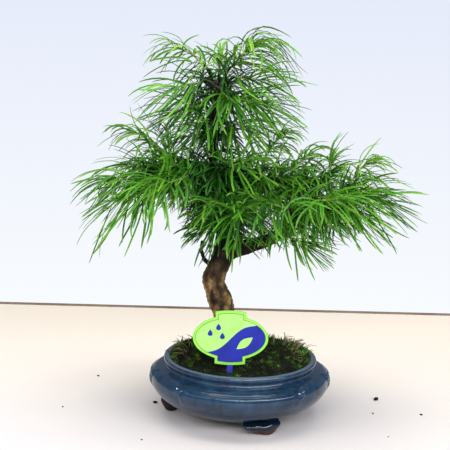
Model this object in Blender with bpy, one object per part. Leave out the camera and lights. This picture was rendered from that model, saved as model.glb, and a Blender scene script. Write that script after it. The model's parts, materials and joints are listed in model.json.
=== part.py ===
"""A golden larch bonsai in a round glazed pot that stands on three feet.

The tree is one body of wood, from the foot of the trunk to the last twig, and each
leafy shoot is a spray of flat needles on a slim green stem. The trunk stands in a
plain hole in the soil, which a sheet of moss covers. A plain plant label is pushed
into the soil in front, and a plastic mesh inside covers the drainage hole.

Sizes are in millimetres here, and the objects are made in metres. +Z is up, the
front of the tree faces -Y, and the origin is on the ground below the pot's centre.
"""

import math
import random
from collections import namedtuple

import bmesh
import bpy
import numpy as np
from mathutils import Matrix, Vector

MM = 0.001
TOUCH = 0.35  # left between pieces that rest against each other
UP = Vector((0.0, 0.0, 1.0))

# The pot: a turned bowl with a collar and a lip, on three bracket feet.
POT_SIDES = 36
POT_BELLY_R = 92.5
POT_COLLAR_R = 77.0
POT_LIP_R = 79.0
POT_MOUTH_R = 72.0
POT_HEIGHT = 63.5
POT_BASE_Z = 12.0
POT_FLOOR_Z = 18.0
DRAIN_R = 9.5
# Three long panels stand out a little on its shoulder, each as wide as this angle.
PANELS = 3
PANEL_MIDDLE_DEG = -90.0
PANEL_HALF_DEG = 42.0
PANEL_RELIEF = 1.7
PANEL_LOW_Z = 38.0
PANEL_HIGH_Z = 50.0
FOOT_FIRST_DEG = -69.0
# Each level of a foot, from the ground up: height, distance out, half width, half depth.
FOOT_LEVELS = ((0.0, 62.0, 8.5, 5.0), (2.5, 63.0, 11.5, 6.8), (6.0, 64.5, 18.0, 8.6),
               (8.5, 65.0, 20.5, 8.8), (12.0, 64.0, 19.5, 7.6), (17.4, 63.5, 17.0, 6.0))
# The feet were stuck on by hand: how much further out each of them sits.
FOOT_SHIFTS = (0.0, 0.0, 8.0)
FOOT_POINTS = 10

# What fills the pot.
SOIL_SIDES = 30
SOIL_RIM_Z = 57.0
SOIL_RISE = 9.0
SOIL_RINGS = (0.25, 0.5, 0.75, 0.93)
SOIL_WALL_GAP = 0.65
HOLE_TOP_Z = 83.5  # above the moss, for the tools that cut the holes in it
MOSS_THICK = 3.2
MOSS_LUMP = 1.5
MOSS_EDGE_R = 67.8
MOSS_EDGE_WAVE = 2.2
MESH_SIDE = 36.0
MESH_THICK = 1.2
MESH_HOLE = 4.6
MESH_PITCH = 8.0
MESH_HOLES = 4

# The plant label: an oval plate with a square tab above and below, on a flat stake.
LABEL_AT = (-11.0, -60.0)
LABEL_HALF_W = 37.0
LABEL_HALF_H = 22.5
LABEL_TAB_HALF_W = 15.0
LABEL_TAB_HALF_H = 27.5
LABEL_TAB_CROWN = 1.8
LABEL_CENTRE_Z = 99.0
LABEL_THICK = 1.0
STAKE_W = 5.6
STAKE_BOTTOM_Z = 34.0
STAKE_POINT = 7.0
ARC_STEPS = 9

# The trunk: its middle line and radius, from the hole in the soil to the top bud.
TRUNK_SIDES = 10
TRUNK_FOOT = (-11.0, 4.0)
TRUNK_FOOT_R = 14.0
TRUNK_BOTTOM_Z = 40.0
TRUNK_COLLAR_Z = 71.0
TRUNK = (
    (-12, 4, 80, 14.2), (-15, 2, 93, 12.2), (-18, 0, 106, 11.4), (-22, 0, 120, 12.2),
    (-27, 0, 134, 12.0), (-28, 0, 147, 11.2), (-24, 0, 160, 11.0), (-20, 0, 172, 10.6),
    (-19, 1, 184, 8.6), (-22, 2, 197, 7.2), (-26, 2, 212, 6.6), (-28, 0, 228, 6.3),
    (-29, -1, 246, 5.8), (-31, 0, 264, 5.2), (-33, 1, 284, 4.6), (-32, 0, 306, 4.0),
    (-31, 0, 326, 3.3), (-30, 1, 343, 2.6),
)
BARK_RIDGE = 0.07
BARK_KNOT = 0.06

# The boughs: middle line and radius, starting inside the wood that carries them.
BOUGH_SIDES = 7
BOUGHS = {
    "right_bough": ((-20, 0, 168, 8.5), (-8, -5, 176, 8.6), (6, -9, 181, 7.8), (22, -13, 187, 6.8),
                    (38, -16, 196, 5.8), (56, -19, 208, 4.8), (76, -21, 221, 3.9), (98, -23, 233, 3.1),
                    (110, -24, 238, 2.5)),
    "left_bough": ((-29, -1, 240, 4.8), (-40, -3, 249, 4.3), (-58, -5, 253, 3.8), (-78, -8, 253, 3.2),
                   (-98, -12, 252, 2.5)),
    "upper_bough": ((-28, 0, 236, 4.8), (-14, 3, 243, 4.4), (8, 6, 246, 4.0), (32, 7, 245, 3.5),
                    (56, 6, 244, 3.0), (80, 5, 244, 2.3)),
    "back_bough": ((-25, 2, 207, 4.4), (-20, 16, 214, 4.0), (-8, 30, 219, 3.5), (14, 38, 223, 2.9),
                   (40, 40, 226, 2.2)),
}
STUBS = (
    ((-33, -3, 158, 3.2), (-40, -8, 166, 2.8), (-43, -10, 176, 2.2), (-41, -10, 185, 1.6)),
    ((-31, 1, 340, 3.0), (-38, -3, 345, 2.8), (-43, -6, 349, 2.0)),
)
TWIG_SIDES = 4
TWIG_ROOT_R = 1.9
TWIG_END_R = 1.5
TWIG_SETBACK = 7.0
TWIG_ELBOW = 3.0

# The shoots: what carries each, where its green stem starts and ends, its needles
# and their length. Their places follow the shape of the real crown.
Shoot = namedtuple("Shoot", "name carrier base tip needles length young")
SHOOTS = [Shoot(*row) for row in (
    ("apex_right_long", "trunk", (-17, -4, 360), (7, -12, 389), 14, 60, True),
    ("apex_left_long", "trunk", (-45, 4, 360), (-75, 8, 376), 11, 46, True),
    ("apex_up", "trunk", (-29, 6, 353), (-27, 12, 366), 8, 40, True),
    ("apex_right_mid", "trunk", (-12, -8, 349), (17, -22, 348), 11, 56, False),
    ("apex_right_low", "trunk", (-12, -10, 330), (16, -20, 323), 12, 60, False),
    ("apex_left_mid", "trunk", (-48, -6, 344), (-75, -14, 338), 11, 54, False),
    ("apex_left_low", "trunk", (-47, 0, 322), (-73, 6, 313), 11, 55, False),
    ("apex_front", "trunk", (-26, -14, 335), (-12, -38, 326), 12, 56, False),
    ("apex_back", "trunk", (-28, 16, 337), (-24, 46, 340), 11, 55, False),
    ("apex_back_left", "trunk", (-42, 14, 329), (-59, 44, 327), 10, 54, False),
    ("apex_back_right", "trunk", (-16, 14, 326), (1, 44, 326), 10, 54, False),
    ("crown_right", "trunk", (-17, -8, 305), (5, -20, 301), 10, 52, False),
    ("crown_front_left", "trunk", (-39, -12, 309), (-58, -32, 303), 10, 46, False),
    ("crown_left", "trunk", (-45, 4, 292), (-67, 14, 286), 10, 40, False),
    ("crown_back", "trunk", (-25, 14, 291), (-15, 44, 288), 10, 54, False),
    ("left_tip", "left_bough", (-107, -16, 253), (-136, -22, 246), 14, 61, False),
    ("left_tip_low", "left_bough", (-98, -26, 246), (-118, -40, 231), 13, 66, False),
    ("left_young", "left_bough", (-86, -4, 273), (-119, -8, 294), 10, 42, True),
    ("left_spur", "left_bough", (-78, 4, 264), (-78, 8, 277), 8, 50, False),
    ("left_top", "left_bough", (-97, 8, 258), (-124, 18, 255), 10, 52, False),
    ("left_front", "left_bough", (-78, -34, 251), (-96, -52, 243), 13, 58, False),
    ("left_front_inner", "left_bough", (-57, -34, 254), (-75, -52, 249), 11, 46, False),
    ("left_inner_low", "left_bough", (-45, -14, 245), (-61, -24, 237), 10, 38, False),
    ("left_back", "left_bough", (-88, 26, 249), (-108, 52, 245), 11, 56, False),
    ("left_back_inner", "left_bough", (-61, 28, 249), (-75, 58, 241), 11, 46, False),
    ("centre_front", "right_bough", (-11, -44, 217), (-6, -74, 229), 14, 56, False),
    ("centre_front_left", "trunk", (-29, -34, 225), (-38, -60, 229), 11, 46, False),
    ("bare_twig", "trunk", (-40, -14, 216), (-53, -18, 215), 5, 28, False),
    ("lower_left", "trunk", (-34, -6, 196), (-47, -10, 199), 9, 32, False),
    ("centre_up", "trunk", (-16, -24, 263), (3, -42, 273), 11, 48, False),
    ("centre_young", "upper_bough", (16, -4, 262), (33, -8, 291), 10, 42, True),
    ("centre_back", "trunk", (-20, 30, 250), (-18, 62, 248), 11, 56, False),
    ("centre_back_low", "back_bough", (-23, 40, 209), (-30, 68, 203), 10, 44, False),
    ("lower_front", "right_bough", (-8, -27, 194), (-6, -49, 199), 10, 38, False),
    ("lower_back", "back_bough", (4, 40, 205), (12, 64, 199), 10, 42, False),
    ("right_tip", "right_bough", (115, -28, 242), (141, -34, 235), 14, 54, False),
    ("right_tip_up", "right_bough", (104, -16, 248), (122, -18, 270), 12, 54, True),
    ("right_tip_low", "right_bough", (101, -34, 228), (115, -48, 219), 10, 56, False),
    ("right_up_spur", "upper_bough", (84, 4, 252), (86, 6, 265), 8, 44, True),
    ("right_front", "right_bough", (74, -52, 236), (94, -70, 242), 14, 55, False),
    ("right_front_inner", "right_bough", (41, -50, 227), (19, -68, 235), 14, 55, False),
    ("right_mid_low", "right_bough", (76, -28, 219), (93, -38, 216), 10, 44, False),
    ("right_low", "right_bough", (49, -21, 192), (63, -27, 186), 11, 46, False),
    ("right_top", "upper_bough", (47, 4, 254), (63, 6, 272), 10, 48, True),
    ("right_back", "upper_bough", (70, 32, 240), (87, 58, 245), 11, 56, False),
    ("right_back_inner", "back_bough", (33, 46, 236), (41, 70, 243), 11, 54, False),
    ("right_back_low", "back_bough", (52, 42, 214), (70, 52, 210), 10, 48, False),
    ("right_inner_low", "right_bough", (18, -28, 199), (28, -46, 203), 10, 40, False),
    ("right_back_tip", "right_bough", (103, 6, 230), (126, 22, 234), 11, 56, False),
)]

# Needles: three-sided blades, flat above and keeled below, drawn by one seeded rule.
NEEDLE_W = 2.4
NEEDLE_KEEL = 1.1
NEEDLE_ROOT_SHARE = 0.6
STEM_SIDES = 3
STEM_R = 1.7
STEM_TAPER = 0.6
GOLDEN_ANGLE = math.radians(137.508)
LEAN_AT_BASE = math.radians(76)
# How the needles of a grown and of a young shoot lie: their lean at the shoot's tip, the
# steepest rise of their roots, where along them they bend, and how far they droop there.
Habit = namedtuple("Habit", "tip_lean steepest bend_at droop")
GROWN = Habit(math.radians(20), 0.35, 0.5, 0.55)
YOUNG = Habit(math.radians(60), 0.3, 0.36, 1.0)
YOUNG_WIDTH = 0.8
# Where along the stem the first and the last needle sit.
FIRST_NEEDLE = 0.2
LAST_NEEDLE = 0.97
# Needles grow shorter towards the shoot's tip, and vary by these shares.
LENGTH_AT_BASE = 1.06
LENGTH_LOST = 0.2
LENGTH_SPREAD = (0.9, 1.08)
DROOP_SPREAD = (0.7, 1.3)
DROOP_UPRIGHT = 0.35  # share of the droop that a needle still has when it starts straight up
STRAY_TURN = 1.2
STRAY_LEAN = 0.3
# How far a needle may stray from its place in the spiral: at its first try, and how
# many more tries it takes to reach the full stray.
STRAY_FIRST = 0.15
STRAY_TRIES = 20
CLEAR_OF_OTHERS = 0.45
CLEAR_IN_SPRAY = 0.1
ROOT_SHARE = 0.3  # of the way to its bend, where needles of one spray may touch
BARK_ROOM = 1.15  # the bark's ridges stand this far out of a limb's mean radius
TRIES = 60
SEED = 1871


def clear_scene():
    for obj in list(bpy.data.objects):
        bpy.data.objects.remove(obj, do_unlink=True)


def new_material(name, colour, roughness):
    material = bpy.data.materials.new(name)
    material.use_nodes = True
    shader = material.node_tree.nodes["Principled BSDF"]
    shader.inputs["Base Color"].default_value = (*colour, 1.0)
    shader.inputs["Roughness"].default_value = roughness
    return material


def object_from(name, build):
    """A closed mesh object. A bmesh is filled by the build function, in millimetres."""
    bm = bmesh.new()
    build(bm)
    bmesh.ops.scale(bm, vec=(MM, MM, MM), verts=bm.verts)
    mesh = bpy.data.meshes.new(name)
    bm.to_mesh(mesh)
    bm.free()
    obj = bpy.data.objects.new(name, mesh)
    bpy.context.scene.collection.objects.link(obj)
    return obj


def combine(obj, others, operation, solver="EXACT"):
    """Applies one Boolean of all the other objects to this one, and removes them."""
    tools = bpy.data.collections.new("tools")
    bpy.context.scene.collection.children.link(tools)
    for other in others:
        bpy.context.scene.collection.objects.unlink(other)
        tools.objects.link(other)
    boolean = obj.modifiers.new(operation, "BOOLEAN")
    boolean.operation = operation
    boolean.solver = solver
    boolean.operand_type = "COLLECTION"
    boolean.collection = tools
    bpy.context.view_layer.objects.active = obj
    bpy.ops.object.modifier_apply(modifier=boolean.name)
    for other in list(tools.objects):
        bpy.data.objects.remove(other, do_unlink=True)
    bpy.data.collections.remove(tools)


def finish(obj, material, smooth_deg=None):
    obj.data.materials.clear()
    obj.data.materials.append(material)
    if smooth_deg is not None:
        obj.data.shade_smooth()
        obj.data.set_sharp_from_angle(angle=math.radians(smooth_deg))


def add_turned(bm, profile, sides):
    """Spins a closed (radius, height) outline once round the Z axis."""
    points = [bm.verts.new((r, 0.0, z)) for r, z in profile]
    edges = [bm.edges.new((a, b)) for a, b in zip(points, points[1:] + points[:1])]
    bmesh.ops.spin(bm, geom=points + edges, cent=(0, 0, 0), axis=(0, 0, 1), dvec=(0, 0, 0),
                   angle=2 * math.pi, steps=sides, use_merge=True)
    bmesh.ops.remove_doubles(bm, verts=bm.verts, dist=0.001)
    bmesh.ops.recalc_face_normals(bm, faces=bm.faces)


def add_loft(bm, rings):
    """Skins rings of points, from the first to the last, and closes both ends."""
    rows = [[bm.verts.new(point) for point in ring] for ring in rings]
    for low, high in zip(rows, rows[1:]):
        for i in range(len(low)):
            j = (i + 1) % len(low)
            bm.faces.new((low[i], low[j], high[j], high[i]))
    bm.faces.new(rows[0][::-1])
    bm.faces.new(rows[-1])
    bmesh.ops.recalc_face_normals(bm, faces=bm.faces)


def cylinder(name, centre, radius, low, high, sides):
    def build(bm):
        turned = [(centre[0] + radius * math.cos(2 * math.pi * i / sides),
                   centre[1] + radius * math.sin(2 * math.pi * i / sides)) for i in range(sides)]
        add_loft(bm, [[(x, y, z) for x, y in turned] for z in (low, high)])
    return object_from(name, build)


def block(name, centre, size):
    def build(bm):
        bmesh.ops.create_cube(bm, size=1.0)
        bmesh.ops.scale(bm, vec=size, verts=bm.verts)
        bmesh.ops.translate(bm, vec=centre, verts=bm.verts)
    return object_from(name, build)


def inner_wall():
    """The pot's inner outline, from the drainage hole's edge up to the mouth."""
    return [(DRAIN_R, POT_FLOOR_Z), (60.0, POT_FLOOR_Z), (75.0, 24.0), (85.0, 34.0), (84.0, 42.5),
            (76.0, 47.5), (POT_MOUTH_R, 51.0), (POT_MOUTH_R, POT_HEIGHT - 1.5)]


def outer_wall():
    """The pot's outer outline, from the lip down to the drainage hole."""
    lip = [(POT_MOUTH_R + 1.5, POT_HEIGHT), (POT_LIP_R - 1.6, POT_HEIGHT), (POT_LIP_R, POT_HEIGHT - 1.8),
           (POT_LIP_R, POT_HEIGHT - 4.0)]
    collar = [(POT_COLLAR_R, POT_HEIGHT - 5.8), (POT_COLLAR_R, 54.5), (POT_COLLAR_R + 2.5, 53.0)]
    bowl = [(86.0, 51.3), (90.5, 48.5), (POT_BELLY_R - 0.2, 44.5), (POT_BELLY_R, 39.5), (90.5, 33.0),
            (85.5, 26.0), (77.5, 19.5), (68.0, 14.8), (60.0, POT_BASE_Z)]
    return lip + collar + bowl + [(DRAIN_R, POT_BASE_Z)]


def raise_panels(pot):
    """Moves the shoulder's points outwards, save in the short gaps between the panels."""
    for vertex in pot.data.vertices:
        x, y, z = vertex.co / MM
        turn = math.degrees(math.atan2(y, x)) - PANEL_MIDDLE_DEG
        from_middle = abs((turn + 180 / PANELS) % (360 / PANELS) - 180 / PANELS)
        on_shoulder = PANEL_LOW_Z < z < PANEL_HIGH_Z and math.hypot(x, y) > POT_BELLY_R - 4
        if on_shoulder and from_middle < PANEL_HALF_DEG:
            grow = 1 + PANEL_RELIEF / math.hypot(x, y)
            vertex.co.x *= grow
            vertex.co.y *= grow


def make_pot(glaze):
    pot = object_from("pot", lambda bm: add_turned(bm, inner_wall() + outer_wall(), POT_SIDES))
    raise_panels(pot)

    def outline(shift, height, out, half_w, half_d):
        """One level of a foot: a rounded oblong that stands off the pot's axis."""
        ring = []
        for i in range(FOOT_POINTS):
            a = 2 * math.pi * (i + 0.5) / FOOT_POINTS
            across = half_w * math.copysign(abs(math.cos(a)) ** 0.7, math.cos(a))
            outwards = half_d * math.copysign(abs(math.sin(a)) ** 0.7, math.sin(a))
            ring.append((out + shift + outwards, across, height))
        return ring

    feet = []
    for i, shift in enumerate(FOOT_SHIFTS):
        foot = object_from(f"foot_{i}", lambda bm: add_loft(bm, [outline(shift, *level) for level in FOOT_LEVELS]))
        foot.data.transform(Matrix.Rotation(math.radians(FOOT_FIRST_DEG + 120 * i), 4, "Z"))
        feet.append(foot)
    combine(pot, feet, "UNION")
    finish(pot, glaze, 40)
    return pot


def soil_height(r):
    """The soil's top, a low mound: straight between its rings, so that the moss can match it."""
    return SOIL_RIM_Z + SOIL_RISE * (1 - (r / POT_MOUTH_R) ** 2)


def trunk_hole(name, low, high):
    return cylinder(name, TRUNK_FOOT, TRUNK_FOOT_R + TOUCH, low, high, TRUNK_SIDES)


def stake_hole(name, low, high):
    size = (STAKE_W + 2 * TOUCH, LABEL_THICK + 2 * TOUCH, high - low)
    return block(name, (*LABEL_AT, (low + high) / 2), size)


def make_soil(earth):
    wall = [(r - SOIL_WALL_GAP, z) for r, z in inner_wall() if DRAIN_R < r and z < SOIL_RIM_Z - 5]
    wall[0] = (wall[0][0], POT_FLOOR_Z + TOUCH)
    rim_r = POT_MOUTH_R - SOIL_WALL_GAP
    top = [(rim_r, soil_height(rim_r))]
    top += [(POT_MOUTH_R * share, soil_height(POT_MOUTH_R * share)) for share in reversed(SOIL_RINGS)]
    profile = [(0.0, POT_FLOOR_Z + TOUCH)] + wall + top + [(0.0, soil_height(0.0))]
    soil = object_from("soil", lambda bm: add_turned(bm, profile, SOIL_SIDES))
    room = MESH_SIDE + 4 * TOUCH
    mesh_top = POT_FLOOR_Z + 2 * TOUCH + MESH_THICK
    recess = block("recess", (0, 0, POT_FLOOR_Z), (room, room, 2 * (mesh_top - POT_FLOOR_Z)))
    combine(soil, [recess, trunk_hole("trunk_hole", TRUNK_BOTTOM_Z - TOUCH, HOLE_TOP_Z),
                   stake_hole("stake_hole", STAKE_BOTTOM_Z - TOUCH, HOLE_TOP_Z)], "DIFFERENCE")
    finish(soil, earth)
    return soil


def moss_top(x, y):
    """Thickness of the moss: soft lumps about the size of a thumb."""
    waves = (math.sin(0.16 * x + 0.9) * math.cos(0.19 * y - 0.4) + 0.6 * math.sin(0.27 * x - 0.21 * y + 2.0)
             + 0.4 * math.cos(0.33 * x + 0.3 * y))
    return MOSS_THICK + MOSS_LUMP * waves


def make_moss(green):
    radii = [POT_MOUTH_R * share for share in SOIL_RINGS[:-1]]
    steps = [v for a, b in zip([0.0] + radii, radii + [MOSS_EDGE_R]) for v in ((a + b) / 2, b)][:-1]

    def edge(angle):
        return MOSS_EDGE_R + MOSS_EDGE_WAVE * (0.6 * math.sin(3 * angle + 1.0) + 0.4 * math.sin(7 * angle))

    def ground(r):
        """Height of the soil's straight-sided top at a radius."""
        rings = [0.0, *(POT_MOUTH_R * share for share in SOIL_RINGS), POT_MOUTH_R - SOIL_WALL_GAP]
        return float(np.interp(r, rings, [soil_height(q) for q in rings]))

    def build(bm):
        centre = ground(0.0) + TOUCH
        low_hub = bm.verts.new((0, 0, centre))
        high_hub = bm.verts.new((0, 0, centre + moss_top(0, 0)))
        low, high = [], []
        for i in range(SOIL_SIDES):
            angle = 2 * math.pi * i / SOIL_SIDES
            c, s = math.cos(angle), math.sin(angle)
            rim = edge(angle)
            low.append([bm.verts.new((r * c, r * s, ground(r) + TOUCH)) for r in radii + [rim]])
            top = [ground(r) + TOUCH + moss_top(r * c, r * s) for r in steps] + [ground(rim) + 2.0]
            high.append([bm.verts.new((r * c, r * s, z)) for r, z in zip(steps + [rim], top)])
        for i in range(SOIL_SIDES):
            j = (i + 1) % SOIL_SIDES
            bm.faces.new((low_hub, low[i][0], low[j][0]))
            bm.faces.new((high_hub, high[j][0], high[i][0]))
            for k in range(len(radii)):
                bm.faces.new((low[i][k], low[i][k + 1], low[j][k + 1], low[j][k]))
            for k in range(len(steps)):
                bm.faces.new((high[i][k], high[j][k], high[j][k + 1], high[i][k + 1]))
            bm.faces.new((low[i][-1], high[i][-1], high[j][-1], low[j][-1]))
        bmesh.ops.recalc_face_normals(bm, faces=bm.faces)

    moss = object_from("moss", build)
    combine(moss, [trunk_hole("trunk_hole", POT_FLOOR_Z, HOLE_TOP_Z),
                   stake_hole("stake_hole", POT_FLOOR_Z, HOLE_TOP_Z)], "DIFFERENCE")
    finish(moss, green)
    return moss


def make_drainage_mesh(plastic):
    middle = POT_FLOOR_Z + TOUCH + MESH_THICK / 2
    sheet = block("drainage_mesh", (0, 0, middle), (MESH_SIDE, MESH_SIDE, MESH_THICK))
    half = (MESH_HOLES - 1) / 2
    places = [(i - half) * MESH_PITCH for i in range(MESH_HOLES)]
    holes = [block("hole", (x, y, middle), (MESH_HOLE, MESH_HOLE, 3 * MESH_THICK))
             for x in places for y in places]
    combine(sheet, holes, "DIFFERENCE")
    finish(sheet, plastic)
    return sheet


def label_outline():
    """Half of the label's outline, from the bottom middle round the right side to the top middle."""
    join = math.asin(LABEL_TAB_HALF_W / LABEL_HALF_W)
    side = [(LABEL_HALF_W * math.sin(a), -LABEL_HALF_H * math.cos(a))
            for a in np.linspace(join, math.pi - join, ARC_STEPS)]
    shoulder = LABEL_TAB_HALF_H - LABEL_TAB_CROWN
    crown = [(LABEL_TAB_HALF_W * u, shoulder + LABEL_TAB_CROWN * (1 - u * u)) for u in (1.0, 0.66, 0.33)]
    lower = [(x, -y) for x, y in reversed(crown)]
    return lower + side + crown


def make_label(plastic):
    right = label_outline()
    left = [(-x, y) for x, y in reversed(right)]
    outline = [(x, LABEL_CENTRE_Z + y) for x, y in right + left]
    half = STAKE_W / 2
    foot = [(-half, LABEL_CENTRE_Z - LABEL_TAB_HALF_H + 3), (-half, STAKE_BOTTOM_Z + STAKE_POINT),
            (0.0, STAKE_BOTTOM_Z), (half, STAKE_BOTTOM_Z + STAKE_POINT),
            (half, LABEL_CENTRE_Z - LABEL_TAB_HALF_H + 3)]

    def plate(points, thick):
        def build(bm):
            front = LABEL_AT[1] - thick / 2
            face = bm.faces.new([bm.verts.new((x + LABEL_AT[0], front, z)) for x, z in points])
            grown = bmesh.ops.extrude_face_region(bm, geom=[face])["geom"]
            behind = [part for part in grown if isinstance(part, bmesh.types.BMVert)]
            bmesh.ops.translate(bm, vec=(0, thick, 0), verts=behind)
            bmesh.ops.recalc_face_normals(bm, faces=bm.faces)
        return build

    label = object_from("plant_label", plate(outline, LABEL_THICK))
    combine(label, [object_from("stake", plate(foot, LABEL_THICK - 0.1))], "UNION")
    finish(label, plastic)
    return label


def rings_along(line, sides, relief=None):
    """Rings of points round a line of (x, y, z, radius), turned with it as little as possible."""
    centres = [Vector(p[:3]) for p in line]
    across = Vector((1.0, 0.0, 0.0))
    rings = []
    for k, centre in enumerate(centres):
        ahead = (centres[min(k + 1, len(centres) - 1)] - centres[max(k - 1, 0)]).normalized()
        across = (across - ahead * across.dot(ahead)).normalized()
        side = ahead.cross(across)
        ring = []
        for i in range(sides):
            a = 2 * math.pi * i / sides
            radius = line[k][3] * (relief(a, k) if relief else 1.0)
            ring.append(centre + across * (radius * math.cos(a)) + side * (radius * math.sin(a)))
        rings.append(ring)
    return rings


def refined(line, parts):
    """The line with points added between its own, on a smooth curve through them."""
    points = np.array([line[0], *line, line[-1]], float)
    out = []
    for k in range(1, len(points) - 2):
        p0, p1, p2, p3 = points[k - 1:k + 3]
        for j in range(parts):
            u = j / parts
            out.append(tuple(0.5 * (2 * p1 + (p2 - p0) * u + (2 * p0 - 5 * p1 + 4 * p2 - p3) * u ** 2
                                    + (3 * p1 - p0 - 3 * p2 + p3) * u ** 3)))
    return out + [tuple(points[-1])]


def bark(angle, ring):
    """Lengthwise ridges that wander a little, with a low swelling every few rings."""
    ridges = BARK_RIDGE * math.sin(3 * angle + 0.5 * ring)
    return 1.0 + ridges + BARK_KNOT * math.sin(1.3 * ring + 2 * math.cos(angle - 0.3 * ring))


def twig_line(shoot):
    """A twig that leaves its bough a little nearer the trunk, and turns to meet the shoot's stem."""
    line = TRUNK if shoot.carrier == "trunk" else BOUGHS[shoot.carrier]
    smooth = [Vector(p[:3]) for p in refined(line, 6)]
    base = Vector(shoot.base)
    nearest = min(range(len(smooth)), key=lambda k: (smooth[k] - base).length)
    start, back = nearest, 0.0
    while start > 0 and back < TWIG_SETBACK:
        back += (smooth[start] - smooth[start - 1]).length
        start -= 1
    along = (Vector(shoot.tip) - base).normalized()
    end = base - along * TOUCH
    elbow = end - along * TWIG_ELBOW
    return [(*smooth[start], TWIG_ROOT_R), (*elbow, TWIG_END_R), (*end, TWIG_END_R)]


def make_wood(bark_brown):
    foot = [(*TRUNK_FOOT, z, TRUNK_FOOT_R) for z in (TRUNK_BOTTOM_Z, TRUNK_COLLAR_Z)]
    stem = refined(TRUNK, 2)

    def build(bm):
        hole = [[(x + TRUNK_FOOT_R * math.cos(2 * math.pi * i / TRUNK_SIDES),
                  y + TRUNK_FOOT_R * math.sin(2 * math.pi * i / TRUNK_SIDES), z) for i in range(TRUNK_SIDES)]
                for x, y, z, _ in foot]
        add_loft(bm, hole + rings_along(stem, TRUNK_SIDES, bark))

    wood = object_from("trunk_and_branches", build)
    limbs = [(line, BOUGH_SIDES) for line in BOUGHS.values()]
    limbs += [(line, TWIG_SIDES) for line in STUBS]
    limbs += [(twig_line(shoot), TWIG_SIDES) for shoot in SHOOTS]
    pieces = [object_from("limb", lambda bm: add_loft(bm, rings_along(line, sides)))
              for line, sides in limbs]
    combine(wood, pieces, "UNION")
    finish(wood, bark_brown)
    return wood


def nearest_gaps(a, b, starts, ends):
    """Distance from segment a-b to each of many segments."""
    d1, d2, r = b - a, ends - starts, a - starts
    aa, ee, f = d1 @ d1, np.einsum("ij,ij->i", d2, d2), np.einsum("ij,ij->i", d2, r)
    c, bb = r @ d1, d2 @ d1
    denominator = np.maximum(aa * ee - bb * bb, 1e-9)
    s = np.clip((bb * f - c * ee) / denominator, 0, 1)
    t = np.clip((bb * s + f) / np.maximum(ee, 1e-9), 0, 1)
    s = np.clip((bb * t - c) / aa, 0, 1)
    return np.linalg.norm(r + s[:, None] * d1 - t[:, None] * d2, axis=1)


class Room:
    """What already fills the air: round bars, each of one piece."""

    def __init__(self):
        self.starts, self.ends, self.radii, self.owners = [], [], [], []

    def add(self, points, radius, owner):
        for a, b in zip(points, points[1:]):
            self.starts.append(tuple(a))
            self.ends.append(tuple(b))
            self.radii.append(radius)
            self.owners.append(owner)

    def clear(self, points, radius, owner):
        """Whether a needle stays off all other pieces, and off its own spray's needles past its root."""
        starts, ends, radii = np.array(self.starts), np.array(self.ends), np.array(self.radii)
        own = np.array([name == owner for name in self.owners])
        for k, (a, b) in enumerate(zip(points, points[1:])):
            gaps = nearest_gaps(np.array(a), np.array(b), starts, ends) - radii - radius
            if gaps[~own].min() < CLEAR_OF_OTHERS:
                return False
            if k == 0:
                a = a.lerp(b, ROOT_SHARE)
                gaps = nearest_gaps(np.array(a), np.array(b), starts, ends) - radii - radius
            if gaps[own].min() < CLEAR_IN_SPRAY:
                return False
        return True


def draw_needle(shoot, i, rng, stray):
    """Root, bend and tip of one needle. It leaves the stem in a spiral and droops."""
    habit = YOUNG if shoot.young else GROWN
    base, tip = Vector(shoot.base), Vector(shoot.tip)
    along = (tip - base).normalized()
    side = along.orthogonal().normalized()
    share = (i + 0.6) / shoot.needles
    root = base.lerp(tip, FIRST_NEEDLE + (LAST_NEEDLE - FIRST_NEEDLE) * share)
    turn = i * GOLDEN_ANGLE + stray * rng.uniform(-STRAY_TURN, STRAY_TURN)
    lean = LEAN_AT_BASE + (habit.tip_lean - LEAN_AT_BASE) * share ** 1.4
    lean += stray * rng.uniform(-STRAY_LEAN, STRAY_LEAN)
    out = side * math.cos(turn) + along.cross(side) * math.sin(turn)
    start = along * math.cos(lean) + out * math.sin(lean)
    start.z = min(start.z, habit.steepest)
    start.normalize()
    length = shoot.length * (LENGTH_AT_BASE - LENGTH_LOST * share) * rng.uniform(*LENGTH_SPREAD)
    level = math.hypot(start.x, start.y)
    bend = root + start * (habit.bend_at * length)
    droop = habit.droop * (DROOP_UPRIGHT + (1 - DROOP_UPRIGHT) * level) * rng.uniform(*DROOP_SPREAD)
    fall = (start - UP * droop).normalized()
    return root, bend, bend + fall * ((1 - habit.bend_at) * length)


def needle_object(line, width):
    """A blade with a flat top and a keel, widest at its bend, ending in a point."""
    root, bend, tip = line
    ahead = (bend - root).normalized()
    across = ahead.cross(UP)
    across = across.normalized() if across.length > 0.05 else Vector((1.0, 0.0, 0.0))
    keel = ahead.cross(across) * NEEDLE_KEEL
    rings = []
    for centre, share in ((root, NEEDLE_ROOT_SHARE), (bend, 1.0)):
        edge = across * (share * width / 2)
        rings.append([centre + edge, centre - edge, centre + keel * share])

    def build(bm):
        first, second = ([bm.verts.new(p) for p in ring] for ring in rings)
        point = bm.verts.new(tip)
        bm.faces.new(first)
        for i in range(3):
            j = (i + 1) % 3
            bm.faces.new((first[i], first[j], second[j], second[i]))
            bm.faces.new((second[i], second[j], point))
        bmesh.ops.recalc_face_normals(bm, faces=bm.faces)
    return object_from("needle", build)


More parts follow.
